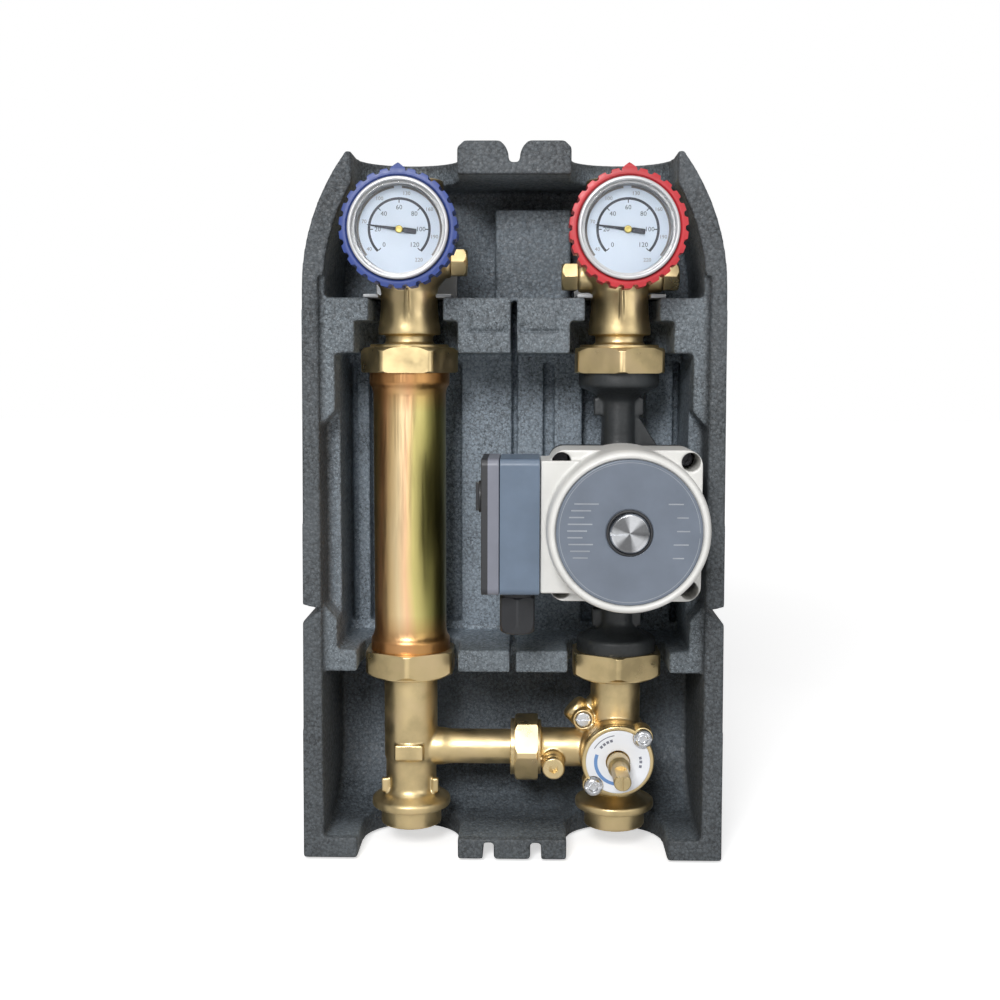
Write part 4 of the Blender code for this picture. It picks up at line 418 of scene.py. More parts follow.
class Coat(Nodes):
    """A material in the making: its shader and the object coordinates that its patterns read."""

    def __init__(self, name, roughness, metallic=0.0):
        self.made = bpy.data.materials.new(name)
        super().__init__(self.made)
        self.shader = self.tree.nodes["Principled BSDF"]
        self.shader.inputs["Roughness"].default_value = roughness
        self.shader.inputs["Metallic"].default_value = metallic
        self.place = self.node("ShaderNodeTexCoord").outputs["Object"]

    def stretched(self, scale, middle=ORIGIN):
        """Object coordinates about a middle, scaled on each axis."""
        shift = [-part * size for part, size in zip(middle, scale)]
        made = self.node("ShaderNodeMapping", Vector=self.place, Scale=scale, Location=shift)
        return made.outputs["Vector"]

    def split(self, vector):
        """The outputs X, Y and Z of a vector."""
        return self.node("ShaderNodeSeparateXYZ", Vector=vector).outputs

    def distance(self, vector):
        """The length of a vector."""
        return self.node("ShaderNodeVectorMath", {"operation": "LENGTH"}, Vector=vector).outputs["Value"]

    def noise(self, scale, detail=3.0, place=None):
        made = self.node("ShaderNodeTexNoise", Vector=place or self.place, Scale=scale, Detail=detail)
        return made.outputs["Fac"]

    def ramp(self, factor, *stops):
        """A colour ramp from (position, colour) stops."""
        made = self.node("ShaderNodeValToRGB", Fac=factor)
        band = made.color_ramp
        for index, (position, colour) in enumerate(stops):
            stop = band.elements[index] if index < 2 else band.elements.new(position)
            stop.position = position
            stop.color = (*colour, 1.0)
        return made.outputs["Color"]

    def spread(self, factor, low, high, start=0.0, end=1.0):
        """Takes a value between start and end to one between low and high."""
        inputs = {"Value": factor, "From_Min": start, "From_Max": end, "To_Min": low, "To_Max": high}
        return self.node("ShaderNodeMapRange", **inputs).outputs["Result"]

    def mixed(self, factor, first, second, blend="MIX"):
        made = self.node("ShaderNodeMix", {"data_type": "RGBA", "blend_type": blend}, Factor=factor)
        colours = [socket for socket in made.inputs if socket.type == "RGBA"]
        for socket, value in zip(colours, (first, second)):
            self.feed(socket, value if isinstance(value, bpy.types.NodeSocket) else (*value, 1.0))
        return next(socket for socket in made.outputs if socket.type == "RGBA")

    def bumps(self, height, strength, distance, under=None):
        inputs = {"Height": height, "Strength": strength, "Distance": distance}
        if under:
            inputs["Normal"] = under
        return self.node("ShaderNodeBump", **inputs).outputs["Normal"]

    def use(self, colour=None, roughness=None, normal=None):
        """Feeds the shader what the patterns make."""
        for name, value in (("Base Color", colour), ("Roughness", roughness), ("Normal", normal)):
            if value is not None:
                self.feed(self.shader.inputs[name], value)
        return self.made


def shade(colour, factor):
    return tuple(min(part * factor, 1.0) for part in colour)


# Part of a noise's range that most of its values lie in
NOISE_RANGE = (0.3, 0.7)
FINE_RELIEF = 0.0004
# Plain finishes: the grain is a noise scale, the mottle a share of the colour, the spread one of the gloss
Wear = namedtuple("Wear", "roughness metallic grain bump mottle spread", defaults=(0.18, 0.06))
WEARS = {
    "zinc_sheet": Wear(0.48, 1.0, 320.0, 0.04),
    "return_plastic": Wear(0.42, 0.0, 420.0, 0.10, 0.14),
    "flow_plastic": Wear(0.42, 0.0, 420.0, 0.10, 0.14),
    "bezel_metal": Wear(0.34, 0.35, 260.0, 0.03, 0.05),
    "dial_paint": Wear(0.50, 0.0, 300.0, 0.03, 0.05),
    "dial_ink": Wear(0.55, 0.0, 500.0, 0.04),
    "dial_pale_ink": Wear(0.55, 0.0, 500.0, 0.04),
    "zinc_screw": Wear(0.28, 1.0, 380.0, 0.05),
    "scale_paint": Wear(0.42, 0.0, 300.0, 0.04, 0.06),
    "scale_blue": Wear(0.45, 0.0, 300.0, 0.04),
    "scale_ink": Wear(0.50, 0.0, 400.0, 0.04),
    "black_casting": Wear(0.46, 0.0, 520.0, 0.35, 0.30, 0.10),
    "motor_paint": Wear(0.36, 0.0, 480.0, 0.08, 0.06),
    "dark_steel": Wear(0.40, 1.0, 380.0, 0.06),
    "label_film": Wear(0.34, 0.0, 520.0, 0.05, 0.08),
    "label_ink": Wear(0.45, 0.0, 500.0, 0.03),
    "seal_rubber": Wear(0.55, 0.0, 400.0, 0.10),
    "box_plastic": Wear(0.40, 0.0, 460.0, 0.10, 0.10),
    "black_plastic": Wear(0.46, 0.0, 460.0, 0.12, 0.15),
    "lid_plastic": Wear(0.42, 0.0, 460.0, 0.10, 0.08),
    "seal_fibre": Wear(0.70, 0.0, 520.0, 0.20),
    "seat_plastic": Wear(0.40, 0.0, 300.0, 0.04, 0.05),
    "polished_chrome": Wear(0.10, 1.0, 300.0, 0.02, 0.06, 0.04),
    "pressed_steel": Wear(0.32, 1.0, 340.0, 0.05),
    "winding_copper": Wear(0.34, 1.0, 640.0, 0.25),
    "impeller_plastic": Wear(0.45, 0.0, 420.0, 0.08),
}
# Patches are broader than the grain, and their tones lie between these values of their noise
PATCH_SHARE = 0.12
PATCH_DETAIL = 4.0
PATCH_RANGE = (0.30, 0.72)
LEAST_ROUGHNESS = 0.02


def worn_finish(name, colour):
    """A plain finish with uneven tone, uneven gloss and a fine surface."""
    wear = WEARS[name]
    coat = Coat(name, wear.roughness, wear.metallic)
    broad = coat.noise(wear.grain * PATCH_SHARE, PATCH_DETAIL)
    fine = coat.noise(wear.grain)
    tones = [shade(colour, 1.0 - wear.mottle), shade(colour, 1.0 + wear.mottle)]
    low = max(wear.roughness - wear.spread, LEAST_ROUGHNESS)
    gloss = coat.spread(fine, low, wear.roughness + wear.spread, *NOISE_RANGE)
    tone = coat.ramp(broad, *zip(PATCH_RANGE, tones))
    return coat.use(tone, gloss, coat.bumps(fine, wear.bump, FINE_RELIEF))


FOAM_ROUGHNESS = 0.72
FOAM_BEADS = 540.0
# Relief of beads and of grains as (strength, height), and noises of the grains and of uneven gloss
BEAD_BUMP = (0.45, -0.0008)
GRAIN_BUMP = (0.30, 0.0005)
FOAM_GRAINS = 1100.0
FOAM_SHEEN = (420.0, 2.0)
FOAM_GLOSS = (0.46, 0.84)
BEAD_TONES = ((0.10, 0.62), (0.90, 1.30))
# Seams between beads: their tone, their strongest share and the distances from a bead's middle
FOAM_SEAM = (0.38, 0.85, (0.34, 0.80))
# Pale grains, dark pits and rubbed flats as (noise scale, detail, tone, strongest share, noise range)
FOAM_PATTERNS = (
    (1500.0, 2.0, 2.10, 0.75, (0.56, 0.72)),
    (760.0, 2.0, 0.25, 0.95, (0.57, 0.68)),
    (22.0, 4.0, 1.55, 0.40, (0.42, 0.75)),
)
# Painted light on the foam: faces deep inside are painted lighter, as if fully lit from in front, and the
# front faces darker
FOAM_DEPTHS = (-0.110, -0.030)
FOAM_FRONT = (0.74, 0.77, 0.79)
PAINTED_FOAM_LIGHT = ((0.015, FOAM_FRONT), (0.06, (1.50, 1.60, 1.66)), (0.85, (2.60, 2.85, 3.10)))
# Painted light and shade by height: the lower chamber painted dark as shade, the middle one painted pale as
# lit and the upper one between them
FOAM_HEIGHTS = (-0.21, 0.21)
# Beyond these distances from the middle the foam is its outer surface, which gets none of the painted light
# and is toned like the front
FOAM_OUTSIDE = (("X", 0.1085, 0.1120), ("Z", 0.1980, 0.2030))
FOAM_REAR = (-0.016, -0.010)
FOAM_HEIGHT_SHADE_DEPTHS = (0.05, 0.45)
FOAM_HEIGHT_SHADES = ((0.23, 0.40), (0.29, 1.0), (0.74, 1.0), (0.82, 0.58))


def foam_finish(colour):
    """Bead foam: each bead has its own tone, darker seams between beads and fine pale grains, with painted
    light and shade by depth and by height.
    """
    coat = Coat("bead_foam", FOAM_ROUGHNESS)
    cells = coat.node("ShaderNodeTexVoronoi", Vector=coat.place, Scale=FOAM_BEADS, Randomness=1.0).outputs
    beads = coat.ramp(cells["Color"], *((at, shade(colour, tone)) for at, tone in BEAD_TONES))
    tone, share, reach = FOAM_SEAM
    surface = coat.mixed(coat.spread(cells["Distance"], 0.0, share, *reach), beads, shade(colour, tone))
    for scale, detail, tone, share, reach in FOAM_PATTERNS:
        pattern = coat.spread(coat.noise(scale, detail), 0.0, share, *reach)
        surface = coat.mixed(pattern, surface, shade(colour, tone))
    axes = coat.split(coat.place)
    # Painted light: faces are toned lighter the deeper they lie in the shell
    depth = coat.spread(axes["Y"], 0.0, 1.0, *FOAM_DEPTHS)
    depth_light = coat.ramp(depth, *PAINTED_FOAM_LIGHT)
    # Painted shade by height on the inner faces: darkest in the lower chamber, lightest in the middle one
    height = coat.spread(axes["Z"], 0.0, 1.0, *FOAM_HEIGHTS)
    level = coat.ramp(height, *((at, (tone, tone, tone)) for at, tone in FOAM_HEIGHT_SHADES))
    zoned = coat.mixed(coat.spread(depth, 0.0, 1.0, *FOAM_HEIGHT_SHADE_DEPTHS), (1.0, 1.0, 1.0), level)
    chamber = coat.mixed(1.0, depth_light, zoned, "MULTIPLY")
    inside = 1.0
    for axis, start, end in FOAM_OUTSIDE:
        reach = coat.sum("ABSOLUTE", axes[axis])
        inside = coat.sum("MULTIPLY", inside, coat.spread(reach, 1.0, 0.0, start, end))
    deep = coat.spread(axes["Y"], 1.0, 0.0, *FOAM_REAR)
    zone = coat.mixed(coat.sum("MULTIPLY", inside, deep), FOAM_FRONT, chamber)
    tone = coat.mixed(1.0, surface, zone, "MULTIPLY")
    gloss = coat.spread(coat.noise(*FOAM_SHEEN), *FOAM_GLOSS, *NOISE_RANGE)
    relief = coat.bumps(cells["Distance"], *BEAD_BUMP)
    return coat.use(tone, gloss, coat.bumps(coat.noise(FOAM_GRAINS), *GRAIN_BUMP, relief))


# Yellow chromate across the tube from its left edge to its right one: its gold, rose and green hues, with a
# painted highlight down the middle and painted shade towards the edges, darkest at the right
CHROMATE_HUES_AND_HIGHLIGHT = (
    (0.04, (0.40, 0.27, 0.09)),
    (0.18, (0.74, 0.38, 0.17)),
    (0.30, (0.88, 0.62, 0.30)),
    (0.42, (0.92, 0.72, 0.42)),
    (0.54, (0.90, 0.58, 0.34)),
    (0.66, (0.72, 0.62, 0.24)),
    (0.82, (0.44, 0.40, 0.13)),
    (0.97, (0.22, 0.19, 0.06)),
)
CHROMATE_ROUGHNESS = 0.36
TUBE_REACH = 0.0217
# Noise scales along each axis: slow drift of the bands, and scratches along the tube
DRIFT = (14.0, 14.0, 5.0)
SCRATCHES = (900.0, 900.0, 40.0)
# How far the bands drift, as a share of the tube's width
DRIFT_REACH = (-0.10, 0.10)
SCRATCH_BUMP = (0.06, 0.0002)
CHROMATE_GLOSS = (0.28, 0.44)
# Distances from the tube's middle between which it turns to the copper tone of its flared ends
FLARE_HEIGHTS = (0.060, 0.078)
FLARE_COLOUR = (0.52, 0.24, 0.085)
FLARE_SHARE = 0.85


def chromate_finish(middle):
    """Yellow chromate on steel tube: gold, green and rose bands that run along the tube, with a highlight
    and shade painted across it.
    """
    coat = Coat("yellow_chromate", CHROMATE_ROUGHNESS, 1.0)
    drifts = coat.noise(1.0, 3.0, coat.stretched(DRIFT, middle))
    drift = coat.spread(drifts, *DRIFT_REACH, *NOISE_RANGE)
    # Painted highlight and shade: the tone follows the tube's side as seen from the front
    side = coat.split(coat.stretched((1.0, 1.0, 1.0), middle))["X"]
    across = coat.spread(side, 0.0, 1.0, -TUBE_REACH, TUBE_REACH)
    tone = coat.ramp(coat.sum("ADD", across, drift), *CHROMATE_HUES_AND_HIGHLIGHT)
    height = coat.distance(coat.stretched((0.0, 0.0, 1.0), middle))
    flare = coat.spread(height, 0.0, FLARE_SHARE, *FLARE_HEIGHTS)
    coppery = coat.mixed(flare, tone, FLARE_COLOUR)
    scratches = coat.noise(1.0, 2.0, coat.stretched(SCRATCHES, middle))
    gloss = coat.spread(scratches, *CHROMATE_GLOSS, *NOISE_RANGE)
    return coat.use(coppery, gloss, coat.bumps(scratches, *SCRATCH_BUMP))


# Surfaces of brass as (roughness, bump strength, noise scale of the grain)
BRASSES = {
    "machined_brass": (0.33, 0.025, 600.0),
    "cast_brass": (0.38, 0.09, 500.0),
    "valve_brass": (0.36, 0.08, 500.0),
    "plug_brass": (0.30, 0.025, 600.0),
    "needle_brass": (0.30, 0.05, 900.0),
    "mixing_brass": (0.36, 0.09, 500.0),
    "spindle_brass": (0.32, 0.025, 600.0),
    "stem_brass": (0.30, 0.08, 900.0),
}
# Noises of brown patches and of uneven gloss, and how both change the colour and the roughness
BRASS_PATCHES = (38.0, 5.0)
BRASS_STOPS = (0.28, 0.50, 0.74)
BRASS_SHEEN = 90.0
BRASS_GLOSS = (-0.07, 0.13)
BRASS_SHADE = 0.62
BRASS_GLEAM = (1.12, 1.10, 1.20)


def brass_finish(name, colour):
    """Brass that is darker and browner in patches, with a cast or machined surface."""
    roughness, bump, grain = BRASSES[name]
    coat = Coat(name, roughness, 1.0)
    gleam = [part * more for part, more in zip(colour, BRASS_GLEAM)]
    tones = shade(colour, BRASS_SHADE), colour, gleam
    tone = coat.ramp(coat.noise(*BRASS_PATCHES), *zip(BRASS_STOPS, tones))
    low, high = (roughness + more for more in BRASS_GLOSS)
    gloss = coat.spread(coat.noise(BRASS_SHEEN), low, high, *NOISE_RANGE)
    return coat.use(tone, gloss, coat.bumps(coat.noise(grain), bump, FINE_RELIEF))


GLASS_ROUGHNESS = 0.03
GLASS_IOR = 1.15
GLASS_DUST = 160.0
DUST_TONES = ((0.35, (0.97, 0.98, 0.98)), (0.80, (1.0, 1.0, 1.0)))
# Roughness of clean and of dusty glass, and the noise values between which it changes
DUST_GLOSS = (0.01, 0.05, 0.4, 0.8)


def glass_finish():
    """Clear gauge glass with faint dust."""
    coat = Coat("gauge_glass", GLASS_ROUGHNESS)
    coat.shader.inputs["Transmission Weight"].default_value = 1.0
    coat.shader.inputs["IOR"].default_value = GLASS_IOR
    dust = coat.noise(GLASS_DUST)
    return coat.use(coat.ramp(dust, *DUST_TONES), coat.spread(dust, *DUST_GLOSS))


TURNED_ROUGHNESS = 0.22
# Painted glints: how many light and dark bands go round the face, their turn and their tones
GLINTS = 3.0
GLINT_TURN = 0.7
PAINTED_GLINT_TONES = ((0.25, 0.40), (0.85, 1.35))
# Rings of the lathe: how far from the middle they reach and how many noise steps that takes
RINGS_REACH = 0.012
RINGS = 60.0
RING_BUMP = (0.10, 0.0003)
RING_GLOSS = (0.20, 0.36)


def turned_finish(name, colour, middle):
    """Metal faced on a lathe: fine rings, and crossed glints of turned metal seen from the front, painted
    into its colour as highlights and shade.
    """
    coat = Coat(name, TURNED_ROUGHNESS, 1.0)
    across = coat.stretched((1.0, 0.0, 1.0), middle)
    reach = coat.spread(coat.distance(across), 0.0, RINGS, 0.0, RINGS_REACH)
    rings = coat.noise(1.0, 2.0, coat.node("ShaderNodeCombineXYZ", X=reach).outputs["Vector"])
    axes = coat.split(across)
    # Painted glints: bands about the middle are lightened and darkened as a turned face reflects light
    angle = coat.sum("ARCTAN2", axes["X"], axes["Z"])
    glint = coat.sum("SINE", coat.sum("MULTIPLY_ADD", angle, GLINTS, GLINT_TURN))
    tones = ((at, shade(colour, tone)) for at, tone in PAINTED_GLINT_TONES)
    tone = coat.ramp(coat.spread(glint, 0.0, 1.0, -1.0, 1.0), *tones)
    gloss = coat.spread(rings, *RING_GLOSS, *NOISE_RANGE)
    return coat.use(tone, gloss, coat.bumps(rings, *RING_BUMP))


def length(name, description, millimetres):
    """A size that the sidebar shows as a length."""
    return bpy.props.FloatProperty(
        name=name, description=description, default=millimetres * MM, precision=5, unit="LENGTH",
    )


def amount(name, description, value):
    """A plain number."""
    return bpy.props.FloatProperty(name=name, description=description, default=value)


def turning(name, description, degrees):
    """An angle that the sidebar shows in degrees."""
    return bpy.props.FloatProperty(
        name=name, description=description, default=math.radians(degrees), subtype="ANGLE",
    )


def tint(name, description, colour):
    """A colour that the sidebar shows as a swatch."""
    return bpy.props.FloatVectorProperty(
        name=name, description=description, default=colour, subtype="COLOR", min=0.0, max=1.0,
    )


# Upper corners of the two tabs on top of the shell, rounded by cutting across them
TAB_CORNERS = (-32.2, -4.6, 4.6, 32.2)
TAB_CUT = 2.6
TAB_DEPTHS = (-120.0, 20.0)
ACROSS_CORNER = (0.0, math.radians(45.0), 0.0)
# Embossed bars on the front of the upper cross wall, as (x, z) corners right of the centre slot
EMBOSSED_BARS = (
    ((3.4, 102.4), (26.4, 104.4)),
    ((24.4, 104.4), (26.4, 114.5)),
    ((3.4, 104.4), (5.4, 108.5)),
)
EMBOSSED_DEPTH = 2.4
CROSS_WALL_RECESS = 5.0


class ShellLooks(bpy.types.PropertyGroup):
    """Foam shell: its colour and the softness of its edges."""
    colour: tint("Foam colour", "Middle tone of the beads", (0.086, 0.094, 0.101))
    grain: amount("Moulding grain", "Voxel size of the moulding in millimetres", 1.1)
    rounds: bpy.props.IntProperty(name="Edge rounds", description="Passes that soften the edges", default=4)
    share: amount("Kept faces", "Share of the faces that stay", 0.30)


class STATION_OT_foam_shell(bpy.types.Operator):
    """Models the rear foam shell with soft moulded edges, embossed marks and bead texture"""
    bl_idname = "station.foam_shell"
    bl_label = "Foam shell"

    def execute(self, context):
        looks = context.scene.shell_looks
        shell = copy_of("rear_shell", "foam_shell")
        wall = Vector((0.0, low_of("rear_shell").y + CROSS_WALL_RECESS * MM, 0.0))
        for side in (-1.0, 1.0):
            for (start, low), (end, high) in EMBOSSED_BARS:
                xs = sorted((side * start, side * end))
                carve(shell, block("groove", (xs[0], -1.0, low), (xs[1], EMBOSSED_DEPTH, high), wall))
        top = high_of("rear_shell").z
        front, back = TAB_DEPTHS
        for x in TAB_CORNERS:
            tool = block("corner", (-TAB_CUT, front, -TAB_CUT), (TAB_CUT, back, TAB_CUT))
            carve(shell, settle(tool, (x * MM, 0.0, top), ACROSS_CORNER))
        cast(shell, looks.grain, looks.rounds, looks.share)
        dress(shell, foam_finish(looks.colour), "foam", "rear_shell", angle=CAST_ANGLE)
        return {"FINISHED"}


# Profiles are (radius, height, corner rounding) in millimetres about each piece's own axis
NUT_LENGTH = 16.7
NUT_ENVELOPE = [
    (28, 0), (29, 0.7, 0.3), (29, 12.8, 0.3), (27, 14.7, 0.4), (23.4, 15.2), (23, NUT_LENGTH, 0.5),
]
NUT_COLLAR = [(23.4, 10), (23.4, 16.2), (22.9, NUT_LENGTH)]
NUT_BORE = [(24.15, -1), (24.15, 13.1), (16.4, 13.1), (16.4, 18)]
CROSS_NUT_ENVELOPE = [
    (19.7, 0), (20.4, 0.6, 0.3), (20.4, 12.4, 0.3), (19.2, 13.8), (17, 14.2), (16.6, NUT_LENGTH, 0.5),
]
CROSS_NUT_COLLAR = [(17, 9), (17, 16.3), (16.6, NUT_LENGTH)]
CROSS_NUT_BORE = [(16.85, -1), (16.85, 13.1), (10.9, 13.1), (10.9, 18)]
TUBE_PROFILE = [
    (19, 0), (23.9, 0, 0.5), (23.9, 13, 1.2), (22.3, 15.6, 1.2), (21.7, 19, 1.5), (21.7, 90),
    (21.7, 161, 1.5), (22.3, 164.4, 1.2), (23.9, 167, 1.2), (23.9, 180, 0.5), (19, 180),
]
TEE_RUN = [
    (18.4, -47.5, 0.8), (18.4, -36.5, 0.4), (24, -36.5, 1), (24, -31.7, 1.2), (16.8, -27.2, 1.6),
    (15.4, -24.6, 1.5), (15.4, -7.5, 1.2), (16.2, -5.5, 1.2), (16.2, 44.4), (16, 45), (16, 48.4),
    (23.6, 48.4), (23.6, 52.4),
]
TEE_BRANCH = [(11.4, 0), (11.4, 20, 2), (10.5, 24, 2), (10.5, 64.7), (16.3, 64.7), (16.3, 68.7)]
TEE_BORE = rod(12, -56, 56)
TEE_BRANCH_BORE = rod(7.8, 0, 72)
# Opposite corners of the tee's front pad and of its right lug
TEE_PAD = ((-8.5, -17.5, -4.7), (8.5, -8.0, 4.7))
LUG_X = 15.4
TEE_LUG = ((-2.0, -10.2, -26.5), (2.0, -6.2, -17.7))
# Turn about a nut's axis that brings one of its flats to the front
FLAT_FIRST = (0.0, 0.0, math.radians(30.0))


class LineLooks(bpy.types.PropertyGroup):
    """Pipe lines: union nuts, spacer tube and tee."""
    nut_flats: length("Nut across flats", "Large union nut across its flats", 52.0)
    cross_flats: length("Cross nut across flats", "Union nut of the cross line across its flats", 37.0)
    nut_start: length("Nut start", "How far a large nut reaches back over its port", 6.5)
    machined: tint("Machined brass", "Colour of turned brass", (0.68, 0.535, 0.285))
    cast: tint("Cast brass", "Colour of cast brass", (0.66, 0.520, 0.280))
    grain: amount("Casting grain", "Voxel size of castings in millimetres", 0.7)


def union_nut(name, flats, envelope, collar, hollow):
    """A hexagon nut about the origin, with turned corners, a collar at its tail and a stepped bore."""
    made = hexagon(name, flats / MM, NUT_LENGTH, 0.0)
    turn_down(made, envelope, steps=LARGE)
    grow(made, collar, steps=LARGE)
    return bore(made, hollow, steps=LARGE)


class STATION_OT_union_nuts(bpy.types.Operator):
    """Models the four large union nuts and the smaller nut of the cross line"""
    bl_idname = "station.union_nuts"
    bl_label = "Union nuts"

    def execute(self, context):
        looks = context.scene.line_looks
        coat = brass_finish("machined_brass", looks.machined)
        upper = UPPER_PORT_Z - looks.nut_start
        lower = LOWER_PORT_Z + looks.nut_start
        places = (
            ("return_upper", RETURN_X, upper, FLAT_FIRST),
            ("return_lower", RETURN_X, lower, DOWNWARD),
            ("flow_upper", FLOW_X, upper, UPWARD),
            ("flow_lower", FLOW_X, lower, DOWNWARD),
        )
        model = union_nut("nut", looks.nut_flats, NUT_ENVELOPE, NUT_COLLAR, NUT_BORE)
        for name, x, z, turn in places:
            nut = copied(model, "nut_" + name, (x, AXIS_Y, z), turn)
            dress(nut, coat, "brass", "union_nut_" + name)
        discard(model)
        shape = looks.cross_flats, CROSS_NUT_ENVELOPE, CROSS_NUT_COLLAR, CROSS_NUT_BORE
        place = (high_of("cross_union_nut").x, AXIS_Y, CROSS_Z)
        cross = settle(union_nut("nut_cross", *shape), place, TO_LEFT)
        dress(cross, coat, "brass", "cross_union_nut")
        return {"FINISHED"}


class STATION_OT_spacer_tube(bpy.types.Operator):
    """Models the spacer tube with its flared ends"""
    bl_idname = "station.spacer_tube"
    bl_label = "Spacer tube"

    def execute(self, context):
        foot = (RETURN_X, AXIS_Y, LOWER_PORT_Z)
        tube = spun("spacer_tube", TUBE_PROFILE, foot, steps=FINE, ring=True)
        dress(tube, chromate_finish(centre("spacer_pipe")), "chromate", "spacer_pipe")
        return {"FINISHED"}


class STATION_OT_tee(bpy.types.Operator):
    """Models the cast tee with its branch, pad and lugs"""
    bl_idname = "station.tee"
    bl_label = "Tee"

    def execute(self, context):
        looks = context.scene.line_looks
        place = Vector((RETURN_X, AXIS_Y, CROSS_Z))
        tee = spun("cast_tee", TEE_RUN, place, steps=LARGE)
        grow(tee, TEE_BRANCH, place, TO_RIGHT)
        fuse(tee, block("pad", *TEE_PAD, place))
        for x in (-LUG_X, LUG_X):
            fuse(tee, block("lug", *TEE_LUG, place + Vector((x * MM, 0.0, 0.0))))
        bore(tee, TEE_BORE, place)
        bore(tee, TEE_BRANCH_BORE, place, TO_RIGHT, SMALL)
        cast(tee, looks.grain)
        dress(tee, brass_finish("cast_brass", looks.cast), "brass", "return_tee", angle=CAST_ANGLE)
        return {"FINISHED"}


# Profiles about the centre of a valve's ball; forward ones run from the ball towards the viewer
VALVE_OUTSIDE = [
    (23.6, -69.4), (23.6, -65.4), (16, -65.4), (16, -61.6), (14.2, -61, 0.6), (14.2, -56.2, 0.8),
    (18.5, -56.2, 0.6), (18.5, -52.6, 1.2), (17.2, -44, 4), (16.7, -29, 3), (23.6, -20.4, 3.5),
    (23.6, 20.4, 3), (20.5, 24.4, 1.6), (20.5, 33.9, 0.9),
]
VALVE_INSIDE = [
    (15, 40), (15, 23.9), (12, 23.9), (12, 18.7), (16.4, 18.7), (16.4, 8.8), (18.6, 8.8), (18.6, -8.8),
    (16.4, -8.8), (16.4, -18.7), (12, -18.7), (12, -75),
]
STEM_BOSS = [(10.5, 0), (10.5, 32.6, 1), (9.4, 34, 0.5)]
STEM_HOLE = [(6.9, 0), (6.9, 21.6), (4.9, 21.6), (4.9, 38)]
PLUG_BOSS = [(9.2, 6), (9.2, 23.4, 0.8), (8.4, 24.9, 0.5)]
PLUG_HOLE = rod(5.3, 20.1, 27)
PARTING_LINE = ((-0.9, -18.0, -52.0), (0.9, -12.5, -30.0))
PLUG_FACE = 25.2
PLUG_FLATS = 15.5
PLUG_EDGE = 0.35
PLUG_SHADE = 1.05
PLUG_LENGTH = 9.4
PLUG_ENVELOPE = [
    (8.3, -1), (8.95, 0.7), (8.95, 7.3), (7.3, PLUG_LENGTH, 0.3), (4.6, PLUG_LENGTH, 0.2), (4, 8.8, 0.2),
]
PLUG_STUB = [(4.6, -4.8), (5, -4.4), (5, 4)]
BRACKET_EDGE = 0.4
ZINC_SHEET = (0.34, 0.35, 0.36)
HANDLE_TEETH = 26
TOOTH_STEPS = 12
HANDLE_R = 32.2
TOOTH_DEPTH = 1.7
# How steep the teeth's flanks are and how far their tops and gaps are shifted towards the tops
TOOTH_SLOPE = 1.8
TOOTH_SHIFT = 1.1
TOP = 90.0
NOSE_HALF_ANGLE = 7.0
NOSE_RISE = 3.0
HANDLE_BACK = 49.3
HANDLE_DEPTH = 20.0
HANDLE_ENVELOPE = [(30.4, 49.3, 1), (35.4, 51.6, 1), (35.4, 66.4, 1.6), (32.6, 68.8, 1.2), (30, 69.3, 0.5)]
HANDLE_CUP = [(27.8, 52.3), (27.8, 68.2, 0.3), (28.9, 69.4), (28.9, 72)]
HANDLE_HUB = [(8.6, 34.3, 0.6), (9.9, 36, 0.8), (9.9, 48, 1), (11.4, 50)]
HANDLE_HOLE = [(6.1, 30), (6.1, 46.5), (2.5, 46.5), (2.5, 55)]
CASE_PROFILE = [
    (2.2, 44.6, 0.4), (2.2, 52.6), (26.6, 52.6, 0.8), (27.5, 54, 0.8), (27.5, 68.4, 0.4), (27.1, 69, 0.3),
    (27.5, 69.6, 0.3), (27.5, 71, 0.6), (26.7, 71.8, 0.5), (25.8, 71.8, 0.4), (25.3, 70.8, 0.4),
    (25.3, 68.3), (24, 68.3), (24, 59.8), (22.5, 59.8), (22.5, 54.1),
]
LENS_PROFILE = [(24.6, 68.6, 0.3), (25, 69.2, 0.3), (25, 69.9, 0.3), (24.4, 70.4, 0.4)]
DIAL_PROFILE = [(23.7, 60.1), (23.7, 60.55, 0.2), (23.4, 60.7), (1.4, 60.7), (1.2, 60.5)]
PRINT_FACE = 60.7
PRINT_THICKNESS = 0.06
FIGURE_STEPS = 2
NEEDLE_FACE = 61.0
NEEDLE_OUTLINE = [
    (18, 0), (17.2, 0.32), (2, 0.95), (-1.6, 1), (-3, 1.45), (-9.2, 1.45), (-9.5, 1.15), (-9.5, -1.15),
    (-9.2, -1.45), (-3, -1.45), (-1.6, -1), (2, -0.95), (17.2, -0.32),
]
NEEDLE_THICKNESS = 0.6
NEEDLE_HUB = [
    (0.9, 60.9), (0.9, 61.7), (2.1, 61.7, 0.2), (2.1, 62.3, 0.3), (1.5, 62.7, 0.4), (0.7, 62.5, 0.1),
]
NEEDLE_ANGLE = 172.0
NEEDLE_BRASS = (0.58, 0.47, 0.16)
# Scales run clockwise in degrees from the right; rows of print are (radius, width or height)
SCALE_START = 225.0
SCALE_END = -45.0
SCALE_STEP = 45.0
SCALE_ARC = (16.6, 1.4)
# Painted shade: dark arcs just inside the bezel, in the pale print's colour, where the bezel's inner wall
# shades the dial
BEZEL_SHADE_ARC = (22.9, 1.2)
BEZEL_SHADE_ARC_ENDS = ((218.0, 97.0), (86.0, -38.0))
TICKS = (15.2, 1.8)
TICK_HALF_ANGLE = 1.0
DEGREES_PER_MARK = 20
DEGREES_ROW = (11.8, 3.6)
OUTER_ROW = (19.7, 2.9)
OUTER_ROW_START = 40
OUTER_ROW_STEP = 30
OUTER_ROW_SHIFT = -12.0
BAND_STEP = 4.0


